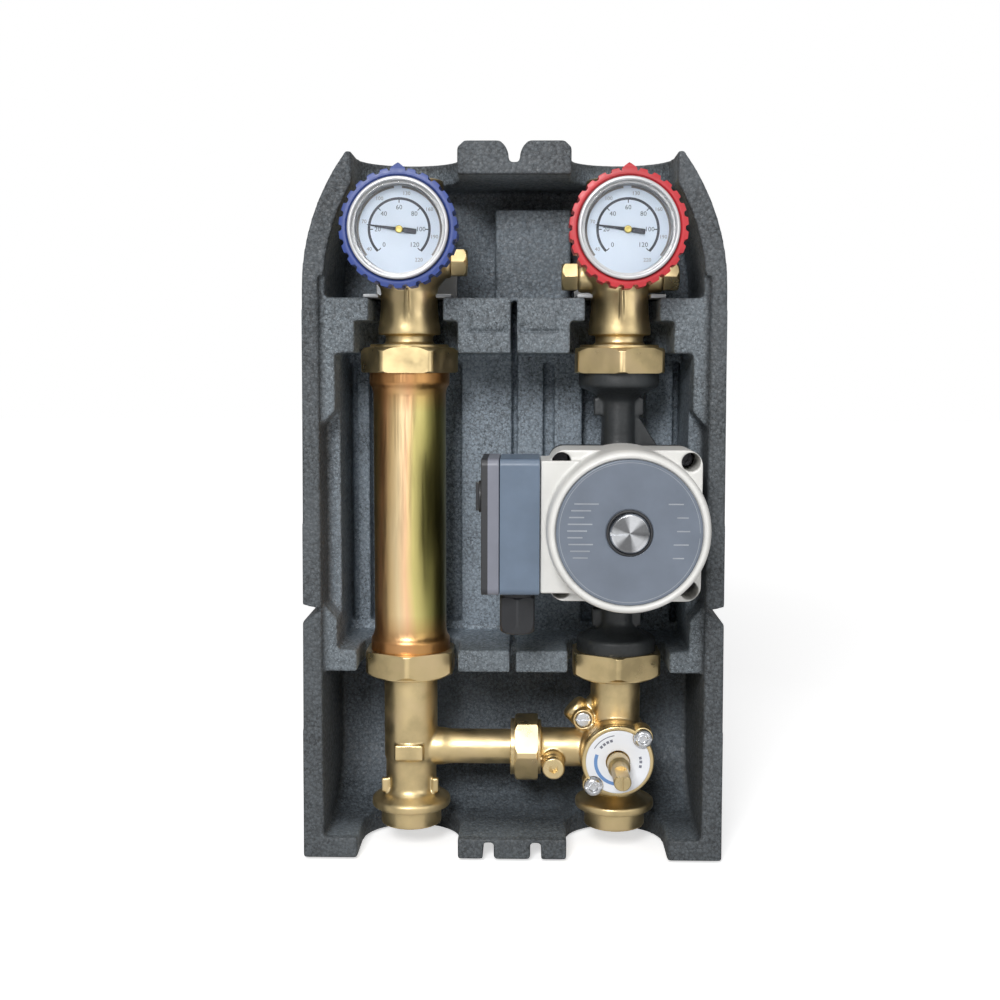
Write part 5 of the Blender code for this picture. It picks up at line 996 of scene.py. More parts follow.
class ValveLooks(bpy.types.PropertyGroup):
    """Ball valves with their handles and thermometers."""
    return_plug_drop: length("Return plug drop", "Return valve's plug below the ball", 13.7)
    flow_plug_drop: length("Flow plug drop", "Flow valve's plugs below the ball", 22.0)
    blue: tint("Return handle", "Plastic of the return handle", (0.026, 0.052, 0.215))
    red: tint("Flow handle", "Plastic of the flow handle", (0.440, 0.019, 0.027))
    dial: tint("Dial", "Paint of the dial", (0.58, 0.65, 0.75))
    bezel: tint("Bezel", "Metal of the bezel", (0.56, 0.56, 0.57))
    ink: tint("Print", "Dark print of the dial", (0.045, 0.050, 0.066))
    # Pale print colour, used also for the painted shade of the bezel's inner wall on the dial
    pale_ink: tint("Pale print", "Outer print of the dial", (0.19, 0.175, 0.17))


def forward(place, distance):
    """A point in front of a place, by millimetres."""
    return Vector(place) - Vector((0.0, distance * MM, 0.0))


def polar(radius, degrees):
    angle = math.radians(degrees)
    return radius * math.cos(angle), radius * math.sin(angle)


def band(name, radius, width, start, end, place):
    """A thin printed arc between two angles, seen from the front."""
    steps = max(int(abs(end - start) / BAND_STEP), 2)
    angles = [start + (end - start) * step / steps for step in range(steps + 1)]
    outer = [polar(radius + width / 2, angle) for angle in angles]
    inner = [polar(radius - width / 2, angle) for angle in reversed(angles)]
    return slab(name, outer + inner, PRINT_THICKNESS, place, TO_VIEWER)


def figure(text, height, at, place):
    """A plain printed number, seen from the front."""
    made = added(bpy.ops.object.text_add, "figure")
    made.data.body = text
    made.data.size = height * MM
    made.data.align_x = made.data.align_y = "CENTER"
    made.data.resolution_u = FIGURE_STEPS
    made.data.extrude = PRINT_THICKNESS * MM / 2
    bpy.ops.object.convert(target="MESH")
    lift = Vector((at[0], -PRINT_THICKNESS / 2, at[1])) * MM
    return settle(bpy.context.object, Vector(place) + lift, TO_VIEWER)


class STATION_OT_valve_bodies(bpy.types.Operator):
    """Models the two cast valve bodies, their plugs and their brackets"""
    bl_idname = "station.valve_bodies"
    bl_label = "Valve bodies"

    def execute(self, context):
        looks = context.scene.valve_looks
        lines = context.scene.line_looks
        coat = brass_finish("valve_brass", lines.cast)
        turned = brass_finish("plug_brass", shade(lines.machined, PLUG_SHADE))
        zinc = worn_finish("zinc_sheet", ZINC_SHEET)
        model = hexagon("plug", PLUG_FLATS, PLUG_LENGTH, PLUG_EDGE)
        turn_down(model, PLUG_ENVELOPE)
        grow(model, PLUG_STUB, steps=SMALL)
        both_sides = ("_left", TO_LEFT, -PLUG_FACE), ("_right", TO_RIGHT, PLUG_FACE)
        valves = (
            ("return", RETURN_BALL, looks.return_plug_drop, (("", TO_RIGHT, PLUG_FACE),)),
            ("flow", FLOW_BALL, looks.flow_plug_drop, both_sides),
        )
        for line, ball, drop, plugs in valves:
            body = spun(line + "_valve", VALVE_OUTSIDE, ball, steps=LARGE)
            grow(body, STEM_BOSS, ball, TO_VIEWER)
            fuse(body, block("parting_line", *PARTING_LINE, ball))
            level = ball - Vector((0.0, 0.0, drop))
            for ending, turn, x in plugs:
                grow(body, PLUG_BOSS, level, turn, SMALL)
            bore(body, VALVE_INSIDE, ball)
            bore(body, STEM_HOLE, ball, TO_VIEWER, SMALL)
            for ending, turn, x in plugs:
                bore(body, PLUG_HOLE, level, turn, TINY)
            cast(body, lines.grain)
            dress(body, coat, "brass", line + "_valve_body", angle=CAST_ANGLE)
            for ending, turn, x in plugs:
                face = level + Vector((x * MM, 0.0, 0.0))
                plug = copied(model, line + "_plug" + ending, face, turn)
                dress(plug, turned, "brass", line + "_valve_plug" + ending)
            node = line + "_valve_bracket"
            dress(refined(node, BRACKET_EDGE), zinc, "zinc", node)
        discard(model)
        return {"FINISHED"}


class STATION_OT_handles(bpy.types.Operator):
    """Models the toothed blue and red handle rings"""
    bl_idname = "station.handles"
    bl_label = "Handles"

    def execute(self, context):
        looks = context.scene.valve_looks
        outline = []
        for step in range(HANDLE_TEETH * TOOTH_STEPS):
            degrees = 360.0 * step / (HANDLE_TEETH * TOOTH_STEPS)
            wave = math.cos(math.radians((degrees - TOP) * HANDLE_TEETH))
            gap = 1.0 - min(max(wave * TOOTH_SLOPE + TOOTH_SHIFT, 0.0), 1.0)
            radius = HANDLE_R - TOOTH_DEPTH * gap
            off = abs(degrees - TOP)
            if off < NOSE_HALF_ANGLE:
                radius = HANDLE_R + NOSE_RISE * (1.0 - off / NOSE_HALF_ANGLE)
            outline.append(polar(radius, degrees))
        model = slab("handle", outline, HANDLE_DEPTH, (0.0, 0.0, HANDLE_BACK * MM))
        turn_down(model, HANDLE_ENVELOPE, steps=FINE)
        bore(model, HANDLE_CUP, steps=FINE)
        grow(model, HANDLE_HUB)
        bore(model, HANDLE_HOLE, steps=SMALL)
        for line, ball, colour in (("return", RETURN_BALL, "blue"), ("flow", FLOW_BALL, "red")):
            handle = line + "_handle"
            ring = copied(model, handle + "_ring", ball, TO_VIEWER)
            plastic = worn_finish(line + "_plastic", getattr(looks, colour))
            dress(ring, plastic, colour, handle, body=handle)
        discard(model)
        return {"FINISHED"}


class STATION_OT_thermometers(bpy.types.Operator):
    """Models the thermometer cases, dials with their print, needles and glasses"""
    bl_idname = "station.thermometers"
    bl_label = "Thermometers"

    def execute(self, context):
        looks = context.scene.valve_looks
        ink = worn_finish("dial_ink", looks.ink)
        pale = worn_finish("dial_pale_ink", looks.pale_ink)
        brass = brass_finish("needle_brass", NEEDLE_BRASS)
        bezel = worn_finish("bezel_metal", looks.bezel)
        paint = worn_finish("dial_paint", looks.dial)
        front = forward(ORIGIN, PRINT_FACE)
        dark = [band("arc", *SCALE_ARC, SCALE_START, SCALE_END, front)]
        # Painted shade: the arcs just inside the bezel; the outer numbers are print
        light = [band("arc", *BEZEL_SHADE_ARC, start, end, front) for start, end in BEZEL_SHADE_ARC_ENDS]
        marks = int((SCALE_START - SCALE_END) / SCALE_STEP)
        for mark in range(marks + 1):
            degrees = SCALE_START - mark * SCALE_STEP
            dark.append(band("tick", *TICKS, degrees - TICK_HALF_ANGLE, degrees + TICK_HALF_ANGLE, front))
            radius, height = DEGREES_ROW
            dark.append(figure(str(mark * DEGREES_PER_MARK), height, polar(radius, degrees), front))
            radius, height = OUTER_ROW
            text = str(OUTER_ROW_START + mark * OUTER_ROW_STEP)
            light.append(figure(text, height, polar(radius, degrees + OUTER_ROW_SHIFT), front))
        outline = []
        for x, y in NEEDLE_OUTLINE:
            distance, angle = math.hypot(x, y), math.degrees(math.atan2(y, x))
            outline.append(polar(distance, angle + NEEDLE_ANGLE))
        case, dial, lens = (
            spun("gauge", profile, ORIGIN, TO_VIEWER, FINE)
            for profile in (CASE_PROFILE, DIAL_PROFILE, LENS_PROFILE)
        )
        needle = slab("needle", outline, NEEDLE_THICKNESS, forward(ORIGIN, NEEDLE_FACE), TO_VIEWER)
        hub = spun("hub", NEEDLE_HUB, ORIGIN, TO_VIEWER, SMALL)
        # Ends of the piece's name, of its body's name and of its node's name come after the line's name
        models = (
            (case, bezel, "bezel", "_gauge_case", "_handle", "_thermometer_case"),
            (dial, paint, "dial", "_gauge_dial", "_handle", "_thermometer_dial"),
            (gather("print", dark), ink, "black", "_dial_print", "_handle"),
            # Outer numbers in pale print, and the painted shade arcs inside the bezel
            (gather("print", light), pale, "black", "_dial_outer_print", "_handle"),
            (needle, ink, "black", "_needle", "_pointer", "_thermometer_pointer"),
            (hub, brass, "brass", "_needle_hub", "_pointer"),
            (lens, glass_finish(), "glass", "_gauge_glass", "_handle", "_thermometer_lens"),
        )
        for line, ball in (("return", RETURN_BALL), ("flow", FLOW_BALL)):
            for model, coat, slot, name, body, *nodes in models:
                piece = copied(model, line + name, ball)
                dress(piece, coat, slot, *(line + node for node in nodes), body=line + body)
        for row in models:
            discard(row[0])
        return {"FINISHED"}


# Profiles about the crossing of the mixing valve's axes
MIX_RUN = [
    (18.4, -47.5, 0.8), (18.4, -36.5, 0.4), (24, -36.5, 1), (24, -31.9, 1), (17.6, -29.6, 0.8),
    (12.9, -27.2, 1.2), (12.5, -24, 1), (12.5, 0), (15, 8, 1), (15, 43.4, 0.6), (16, 44.6), (16, 48.4),
    (23.6, 48.4), (23.6, 52.4),
]
MIX_BARREL = [(19.8, -24, 1), (21.5, -22, 1), (21.5, 25, 0.6), (20.8, 26, 0.4)]
MIX_PORT = [(11.8, 0), (11.8, 45.2, 1), (16.6, 45.2), (16.6, 53.7)]
MIX_EAR = [(5.2, 15.8, 1), (6.2, 17.6, 1), (6.2, 25.7, 0.5)]
MIX_BYPASS = [(8, 0), (8, 36.4, 1.2), (6.2, 38, 0.8)]
MIX_SCREW_BOSS = [(6.4, 0), (6.4, 10.6, 0.6), (5.8, 11.2, 0.3)]
MIX_SCREW_HOLE = rod(4.9, 4.2, 14)
MIX_LINK = rod(5, 0, 31)
MIX_SIDE_BOSS = [(6.8, 0), (6.8, 21, 0.8), (6, 22, 0.4)]
MIX_SIDE_HOLE = rod(4.9, 16, 25)
MIX_CHAMBER = rod(15.5, -18, 30)
MIX_BORE = rod(10, -60, 60)
MIX_PORT_BORE = rod(7.8, 0, 60)
MIX_COVER = [(21.2, 26.3, 0.3), (21.5, 27, 0.3), (21.5, 29.4, 0.6), (20.6, 30.3, 0.5)]
MIX_COVER_EAR = [(6.2, 26.3), (6.2, 29.8, 0.5), (5.8, 30.3, 0.3)]
MIX_COVER_HOLE = rod(7.1, 20, 36)
COVER_SCREW_HOLE = rod(2.8, 20, 36)
SCALE_NOTCH = rod(6, 28, 36)
MIX_SCALE = [
    (7.2, 30.6), (18.6, 30.6, 0.2), (19, 31, 0.2), (19, 31.5, 0.3), (18.4, 31.8, 0.2), (7.2, 31.8, 0.2),
]
SCALE_PRINT_FACE = 31.8
# Print of the scale: rings as (radius, width), with their angles in degrees
BLUE_ARC = (13.2, 2.0, 160.0, 262.0)
THIN_ARC = (16.2, 0.5, 98.0, 150.0)
MARK_RING = (13.4, 1.6)
MARK_STARTS = (104.0, 114.0, 124.0, 134.0, -2.0, 8.0, -14.0)
MARK_LENGTH = 7.0
SCALE_INK = (0.16, 0.17, 0.21)
MIX_SCREW_HEAD = [
    (2.4, 20), (2.4, 30.6), (5.2, 30.6, 0.3), (5.6, 31.2, 0.4), (5.6, 33.4, 0.9), (4, 34.8, 0.8),
    (2.9, 34.8, 0.2), (2.3, 33.2, 0.3), (0, 33),
]
SPINDLE_PROFILE = [
    (5, 16), (5, 32.1), (6, 32.1, 0.3), (6.6, 32.8, 0.4), (6.6, 43.6, 0.6), (5.6, 45.1, 0.6), (5, 46, 0.4),
    (5, 70.8, 0.5), (4.3, 71.8, 0.4),
]
BYPASS_HEAD = [(4.2, 4.6), (4.6, 5.2), (4.6, 10.6, 0.5), (3.9, 11.2, 0.3)]
SIDE_PLUG = [
    (4.3, 16.4), (4.6, 17), (4.6, 22.3), (6.4, 22.3, 0.3), (6.8, 22.9, 0.3), (6.8, 27.2, 0.7),
    (5.9, 28.3, 0.5),
]
SCREW_RING = 14.5
# Ears on the cover's own plane, before it is turned to the viewer
EAR_SPOTS = tuple(Vector((reach, reach, 0.0)) * MM for reach in (-SCREW_RING, SCREW_RING))
UP_LEFT = (0.0, math.radians(-45.0), 0.0)
# Height above the crossing at which the bypass joins the run
LINK_HEIGHT = 44.2
# Opposite corners of slots and of the spindle's flat
COVER_SCREW_SLOT = ((-6.5, -35.5, -0.6), (6.5, -33.6, 0.6))
SPINDLE_FLAT = ((-6.0, -73.0, 3.4), (6.0, -56.0, 8.0))
SPINDLE_SLOT = ((-0.6, -73.0, -6.0), (0.6, -70.2, 6.0))
BYPASS_SLOT = ((-6.0, -12.0, -0.6), (6.0, -9.8, 0.6))
PLUG_SOCKET = (5.0, 6.0)
PLUG_SOCKET_FLOOR = 24.6
ZINC_SCREW = (0.66, 0.67, 0.69)


class MixingLooks(bpy.types.PropertyGroup):
    """Mixing valve: spindle, cover, scale and bypass."""
    side_x: length("Side boss distance", "Side boss left of the spindle", 38.0)
    side_drop: length("Side boss drop", "Side boss below the cross line", 5.5)
    plate: tint("Scale plate", "Paint of the scale", (0.72, 0.74, 0.78))
    mark: tint("Scale mark", "Blue mark of the scale", (0.12, 0.24, 0.48))


def mixing_places(looks):
    """The crossing of the axes, the bypass screw, the side boss and the two ears on the cover."""
    place = Vector((FLOW_X, AXIS_Y, CROSS_Z))
    spot = Vector((BYPASS_PLACE.x, AXIS_Y, BYPASS_PLACE.z))
    side = place - Vector((looks.side_x, 0.0, looks.side_drop))
    reach = Vector((SCREW_RING, 0.0, SCREW_RING)) * MM
    return place, spot, side, (place - reach, place + reach)


class STATION_OT_mixing_valve(bpy.types.Operator):
    """Models the cast body of the mixing valve with its ports, ears and bosses"""
    bl_idname = "station.mixing_valve"
    bl_label = "Mixing valve body"

    def execute(self, context):
        lines = context.scene.line_looks
        place, spot, side, ears = mixing_places(context.scene.mixing_looks)
        link_way = place + Vector((0.0, 0.0, LINK_HEIGHT * MM)) - spot
        link_turn = link_way.to_track_quat("Z", "Y").to_euler()
        body = spun("mixing_body", MIX_RUN, place, steps=LARGE)
        bosses = (
            (MIX_BARREL, place, TO_VIEWER, LARGE),
            (MIX_PORT, place, TO_LEFT, MIDDLING),
            (MIX_EAR, ears[0], TO_VIEWER, SMALL),
            (MIX_EAR, ears[1], TO_VIEWER, SMALL),
            (MIX_BYPASS, place, UP_LEFT, SMALL),
            (MIX_SCREW_BOSS, spot, TO_VIEWER, SMALL),
            (MIX_LINK, spot, link_turn, SMALL),
            (MIX_SIDE_BOSS, side, TO_VIEWER, SMALL),
        )
        for shape in bosses:
            grow(body, *shape)
        hollows = (
            (MIX_BORE, place, UPWARD, SMALL),
            (MIX_CHAMBER, place, TO_VIEWER, MIDDLING),
            (MIX_PORT_BORE, place, TO_LEFT, SMALL),
            (MIX_SCREW_HOLE, spot, TO_VIEWER, SMALL),
            (MIX_SIDE_HOLE, side, TO_VIEWER, SMALL),
        )
        for shape in hollows:
            bore(body, *shape)
        cast(body, lines.grain)
        coat = brass_finish("mixing_brass", lines.cast)
        dress(body, coat, "brass", "mixing_valve_body", angle=CAST_ANGLE)
        return {"FINISHED"}


class STATION_OT_mixing_front(bpy.types.Operator):
    """Models the cover, scale, screws, spindle and plugs on the front of the mixing valve"""
    bl_idname = "station.mixing_front"
    bl_label = "Mixing valve front"

    def execute(self, context):
        looks = context.scene.mixing_looks
        place, spot, side, ears = mixing_places(looks)
        brass = brass_finish("spindle_brass", context.scene.line_looks.machined)
        zinc = worn_finish("zinc_screw", ZINC_SCREW)

        cover = spun("mixing_cover_plate", MIX_COVER, steps=LARGE)
        for ear_spot in EAR_SPOTS:
            grow(cover, MIX_COVER_EAR, ear_spot, steps=SMALL)
        bore(cover, MIX_COVER_HOLE, steps=SMALL)
        for ear_spot in EAR_SPOTS:
            bore(cover, COVER_SCREW_HOLE, ear_spot, steps=TINY)
        dress(settle(cover, place, TO_VIEWER), brass, "brass", "mixing_cover")

        scale = spun("mixing_scale_disc", MIX_SCALE, place, TO_VIEWER, LARGE, ring=True)
        for ear in ears:
            bore(scale, SCALE_NOTCH, ear, TO_VIEWER, SMALL)
        dress(scale, worn_finish("scale_paint", looks.plate), "scale", "mixing_scale_plate")
        front = forward(place, SCALE_PRINT_FACE)
        dress(band("scale_arc", *BLUE_ARC, front), worn_finish("scale_blue", looks.mark), "blue")
        marks = [band("mark", *MARK_RING, start, start + MARK_LENGTH, front) for start in MARK_STARTS]
        marks.append(band("mark", *THIN_ARC, front))
        dress(gather("scale_marks", marks), worn_finish("scale_ink", SCALE_INK), "black")

        model = spun("screw", MIX_SCREW_HEAD, ORIGIN, TO_VIEWER, SMALL)
        carve(model, block("slot", *COVER_SCREW_SLOT))
        for ear, node in zip(ears, ("mixing_screw_lower", "mixing_screw_upper")):
            dress(copied(model, node + "_shape", ear), zinc, "zinc", node)
        discard(model)

        spindle = spun("mixing_spindle_shape", SPINDLE_PROFILE, place, TO_VIEWER)
        carve(spindle, block("flat", *SPINDLE_FLAT, place), block("slot", *SPINDLE_SLOT, place))
        dress(spindle, brass, "brass", "mixing_spindle", body="mixing_spindle")

        screw = spun("bypass_screw_shape", BYPASS_HEAD, spot, TO_VIEWER, SMALL)
        carve(screw, block("slot", *BYPASS_SLOT, spot))
        dress(screw, zinc, "zinc", "bypass_screw", body="bypass_screw")

        plug = spun("bypass_plug_shape", SIDE_PLUG, side, TO_VIEWER)
        carve(plug, hexagon("socket", *PLUG_SOCKET, 0.0, forward(side, PLUG_SOCKET_FLOOR), TO_VIEWER))
        dress(plug, brass, "brass", "bypass_plug")
        return {"FINISHED"}


# Profiles about the pump's middle; forward ones run from the pipe axis towards the viewer
VOLUTE_PROFILE = [(35, -24, 3), (40.5, -19, 4), (40.5, 22), (40.5, 27.7)]
PUMP_NECK = [
    (12, 30), (10.2, 44, 4), (10.2, 67, 2), (14, 71, 2), (23, 75.2, 1), (23.9, 76.6, 0.8), (23.9, 90),
]
PUMP_BORE = [(7.4, 0), (7.4, 85.5), (19, 85.5), (19, 94)]
VOLUTE_BORE = rod(34.5, -18, 34)
PUMP_WEB = [(0, 60), (10.4, 60), (36, 21), (0, 34)]
WEB_THICKNESS = 8.0
FLANGE_HALF = 42.0
FLANGE_CORNER = 8.5
FLANGE_CORNER_STEPS = 8
FLANGE_BACK = 18.0
FLANGE_THICKNESS = 10.0
CUP_BACK = 28.3
CUP_DEPTH = 42.0
SCREW_SQUARE = 35.5
# Opposite corners of a neck's spanner lugs and of the saddle under the terminal box
NECK_LUGS = ((-14.7, -4.5, -5.2), (14.7, 4.5, 5.2))
NECK_LUGS_Z = 63.6
SADDLE = ((-47.0, -77.5, -36.5), (-20.0, -36.5, 36.5))
# Castings as (voxel size in millimetres, rounds of smoothing, share of the faces kept)
IRON_CAST = (0.8, 3, 0.6)
MOTOR_CAST = (0.7, 2, 0.5)
MOTOR_PROFILE = [
    (44, 36.3), (44, 95, 2), (43, 99.2, 1.4), (41.6, 100.7, 0.8), (40.4, 100.6, 0.5), (39.5, 99.8, 0.4),
    (39.3, 97.6),
]
MOTOR_BORE = [(40, 20), (40, 94.6), (6.5, 94.6), (6.5, 104)]
POCKET_PROFILE = rod(5.2, 36.3, 74)
SCREW_HOLE = rod(2.7, 10, 40)
MOTOR_SCREW = [(2.4, 24), (2.4, 36.4), (4.6, 36.4, 0.2), (4.7, 37), (4.7, 40.8, 0.5), (4.2, 41.3, 0.3)]
LABEL_PROFILE = [
    (6.6, 97.9), (38.7, 97.9), (39, 98.3), (39, 99.1, 0.3), (38.3, 99.5, 0.3), (12.9, 99.5, 0.2),
    (12.6, 99.2), (6.6, 99.2),
]
LABEL_FACE = 99.5
# Rows of print on the label: a column on the left and every second row on the right
ROWS = 9
ROWS_TOP = 15.0
ROW_STEP = 3.6
ROW_HEIGHT = 0.7
ROWS_RADIUS = 33.0
LEFT_ROW = 13.0
LEFT_ROW_STEP = 2.5
RIGHT_ROW = 9.0
RIGHT_GAP = 1.0
LABEL_RING = (37.3, 0.30, 0.0, 356.0)
SEAL_PROFILE = [
    (10.7, 99.3), (12.4, 99.3), (12.5, 99.9, 0.3), (12, 100.7, 0.5), (11.1, 100.7, 0.4), (10.7, 100, 0.3),
]
VENT_PROFILE = [
    (6.2, 95.5), (6.2, 99.5), (10, 99.8, 0.3), (10.5, 100.4, 0.3), (10.5, 103.2, 0.6), (9.7, 104.3, 0.5),
    (5.2, 104.1), (0, 103.9),
]
VENT_SLOT = ((-12.0, -106.0, -0.8), (12.0, -102.6, 0.8))
VENT_CHROME = (0.52, 0.53, 0.55)
DARK_STEEL = (0.10, 0.10, 0.11)
SCREW_SOCKET = (4.0, 6.0)
SCREW_SOCKET_FLOOR = 38.4
KNOB_PROFILE = [(3.5, -9.5), (3.5, 0.3), (8.7, 0.3, 0.1), (9, 0.6, 0.2), (9, 1.5, 0.3), (8.6, 2, 0.2)]
GLAND_NECK = [(7.5, -2.6), (7.5, 0.6), (9.6, 0.6, 0.3), (9.6, 3.6, 0.3), (8.8, 4.4)]
GLAND_ENVELOPE = [(10.2, 3.6, 0.2), (10.8, 4.6, 0.3), (10.8, 19.6, 1), (9.6, 23.8, 0.8), (8.4, 24.6, 0.5)]
GLAND_BORE = [(4.2, -4), (4.2, 21, 0.5), (5.6, 25.4)]
GLAND_NUT = (19.6, 24.6, 0.4)
KNOB_GRIP = ((-3.7, -1.7, -8.0), (-1.2, 1.7, 8.0))
GRIP_EDGE = 0.4
BOX_EDGE = 0.7
LID_EDGE = 0.9
# Thickness of the lid's outer layer, given black plastic as painted shade along the lid's side, and a reach
# beyond the lid for the tools that part the two
LID_SHADE_DEPTH = 3.6
LID_REACH = 60.0


class PumpLooks(bpy.types.PropertyGroup):
    """Circulating pump: housing, motor, label and terminal box."""
    iron: tint("Cast iron", "Paint of the pump housing", (0.022, 0.025, 0.027))
    cream: tint("Motor", "Paint of the motor", (0.65, 0.645, 0.62))
    label: tint("Label", "Film on the motor's end", (0.132, 0.156, 0.196))
    print: tint("Label print", "Pale rows on the label", (0.27, 0.29, 0.32))
    box: tint("Terminal box", "Plastic of the terminal box", (0.115, 0.156, 0.216))
    lid: tint("Lid", "Plastic of the terminal box's lid", (0.175, 0.182, 0.220))
    black: tint("Black plastic", "Plastic of the gland and the knob", (0.020, 0.021, 0.024))


def flange_outline():
    """The outline of the square flange with its round corners."""
    steps = FLANGE_CORNER_STEPS
    flat = FLANGE_HALF - FLANGE_CORNER
    outline = []
    for turn, (x, y) in enumerate(((flat, flat), (-flat, flat), (-flat, -flat), (flat, -flat))):
        for step in range(steps + 1):
            dx, dy = polar(FLANGE_CORNER, 90.0 * (turn + step / steps))
            outline.append((x + dx, y + dy))
    return outline


def screw_spots():
    """The four motor screws' places on the pipe axis' plane."""
    reach = SCREW_SQUARE * MM
    return [PUMP_MIDDLE + Vector((x * reach, 0.0, z * reach)) for x in (-1.0, 1.0) for z in (-1.0, 1.0)]


class STATION_OT_pump_housing(bpy.types.Operator):
    """Models the cast pump housing with its necks, spanner lugs and web"""
    bl_idname = "station.pump_housing"
    bl_label = "Pump housing"

    def execute(self, context):
        looks = context.scene.pump_looks
        place = PUMP_MIDDLE
        body = spun("pump_casting", VOLUTE_PROFILE, place, TO_VIEWER, LARGE)
        back = forward(place, FLANGE_BACK)
        fuse(body, slab("flange", flange_outline(), FLANGE_THICKNESS, back, TO_VIEWER))
        for turn in (UPWARD, DOWNWARD):
            grow(body, PUMP_NECK, place, turn)
        for z in (NECK_LUGS_Z, -NECK_LUGS_Z):
            fuse(body, block("lugs", *NECK_LUGS, place + Vector((0.0, 0.0, z * MM))))
        fuse(body, slab("web", PUMP_WEB, WEB_THICKNESS, forward(place, -WEB_THICKNESS / 2), TO_VIEWER))
        bore(body, VOLUTE_BORE, place, TO_VIEWER)
        for turn in (UPWARD, DOWNWARD):
            bore(body, PUMP_BORE, place, turn, SMALL)
        for spot in screw_spots():
            bore(body, SCREW_HOLE, spot, TO_VIEWER, COARSE)
        cast(body, *IRON_CAST)
        dress(body, worn_finish("black_casting", looks.iron), "iron", "pump_housing", angle=CAST_ANGLE)
        return {"FINISHED"}


class STATION_OT_motor(bpy.types.Operator):
    """Models the motor housing with its screws, label and vent screw"""
    bl_idname = "station.motor"
    bl_label = "Motor"

    def execute(self, context):
        looks = context.scene.pump_looks
        place = PUMP_MIDDLE
        body = slab("motor_cup", flange_outline(), CUP_DEPTH, forward(place, CUP_BACK), TO_VIEWER)
        grow(body, MOTOR_PROFILE, place, TO_VIEWER, FINE)
        fuse(body, block("saddle", *SADDLE, place))
        bore(body, MOTOR_BORE, place, TO_VIEWER, LARGE)
        for spot in screw_spots():
            bore(body, POCKET_PROFILE, spot, TO_VIEWER, SMALL)
            bore(body, SCREW_HOLE, spot, TO_VIEWER, COARSE)
        cast(body, *MOTOR_CAST)
        dress(body, worn_finish("motor_paint", looks.cream), "cream", "motor_housing", angle=CAST_ANGLE)

        model = spun("screw", MOTOR_SCREW, ORIGIN, TO_VIEWER, SMALL)
        carve(model, hexagon("socket", *SCREW_SOCKET, 0.0, forward(ORIGIN, SCREW_SOCKET_FLOOR), TO_VIEWER))
        screws = [copied(model, "motor_screw", spot) for spot in screw_spots()]
        discard(model)
        dress(gather("motor_screws", screws), worn_finish("dark_steel", DARK_STEEL), "steel")

        label = spun("motor_label", LABEL_PROFILE, place, TO_VIEWER, FINE, ring=True)
        dress(label, worn_finish("label_film", looks.label), "label", "motor_label_plate")
        front = forward(place, LABEL_FACE)
        spans = []
        for row in range(ROWS):
            level = ROWS_TOP - row * ROW_STEP
            reach = math.sqrt(ROWS_RADIUS ** 2 - level ** 2)
            spans.append((-reach, LEFT_ROW - reach - (row % 3) * LEFT_ROW_STEP, level))
            if row % 2 == 0:
                spans.append((reach - RIGHT_ROW + row % 3, reach - RIGHT_GAP, level))
        rows = []
        for start, end, level in spans:
            corners = (start, -PRINT_THICKNESS, level), (end, 0.0, level + ROW_HEIGHT)
            rows.append(block("row", *corners, front))
        rows.append(band("ring", *LABEL_RING, front))
        dress(gather("label_rows", rows), worn_finish("label_ink", looks.print), "label")

        seal = spun("vent_seal", SEAL_PROFILE, place, TO_VIEWER, ring=True)
        dress(seal, worn_finish("seal_rubber", looks.black), "sealing")
        vent = spun("vent_screw", VENT_PROFILE, place, TO_VIEWER, LARGE)
        carve(vent, block("slot", *VENT_SLOT, place))
        dress(vent, turned_finish("turned_chrome", VENT_CHROME, place), "chrome", "motor_vent_screw")
        return {"FINISHED"}


class STATION_OT_terminal_box(bpy.types.Operator):
    """Models the terminal box with its lid, cable gland and speed selector"""
    bl_idname = "station.terminal_box"
    bl_label = "Terminal box"

    def execute(self, context):
        looks = context.scene.pump_looks
        black = worn_finish("black_plastic", looks.black)
        box = refined("terminal_box", BOX_EDGE)
        dress(box, worn_finish("box_plastic", looks.box), "box", "terminal_box")
        lid = refined("terminal_box_lid", LID_EDGE)
        # Painted shade: the lid's outer layer is split off and given black plastic, for the shade along the
        # lid's side
        cover = refined("terminal_box_lid", LID_EDGE, "terminal_lid_cover")
        outside = low_of("terminal_box_lid").x
        seam = Vector((outside + LID_SHADE_DEPTH * MM, SELECTOR_PLACE.y, PUMP_MIDDLE.z))
        carve(lid, block("outer", (-LID_REACH, -LID_REACH, -LID_REACH), (0.0, LID_REACH, LID_REACH), seam))
        carve(cover, block("inner", (0.0, -LID_REACH, -LID_REACH), (LID_REACH, LID_REACH, LID_REACH), seam))
        dress(lid, worn_finish("lid_plastic", looks.lid), "box", "terminal_box_lid")
        dress(cover, black, "black")

        middle = centre("cable_gland")
        mouth = Vector((middle.x, middle.y, low_of("terminal_box").z))
        gland = hexagon("gland_nut", *GLAND_NUT)
        turn_down(gland, GLAND_ENVELOPE)
        grow(gland, GLAND_NECK)
        bore(gland, GLAND_BORE, steps=SMALL)
        dress(settle(gland, mouth, DOWNWARD), black, "black", "cable_gland")

        face = Vector((outside, SELECTOR_PLACE.y, SELECTOR_PLACE.z))
        knob = spun("selector_knob", KNOB_PROFILE, face, TO_LEFT)
        fuse(knob, block("grip", *KNOB_GRIP, face, GRIP_EDGE))
        dress(knob, black, "black", "speed_selector", body="speed_selector")
        return {"FINISHED"}


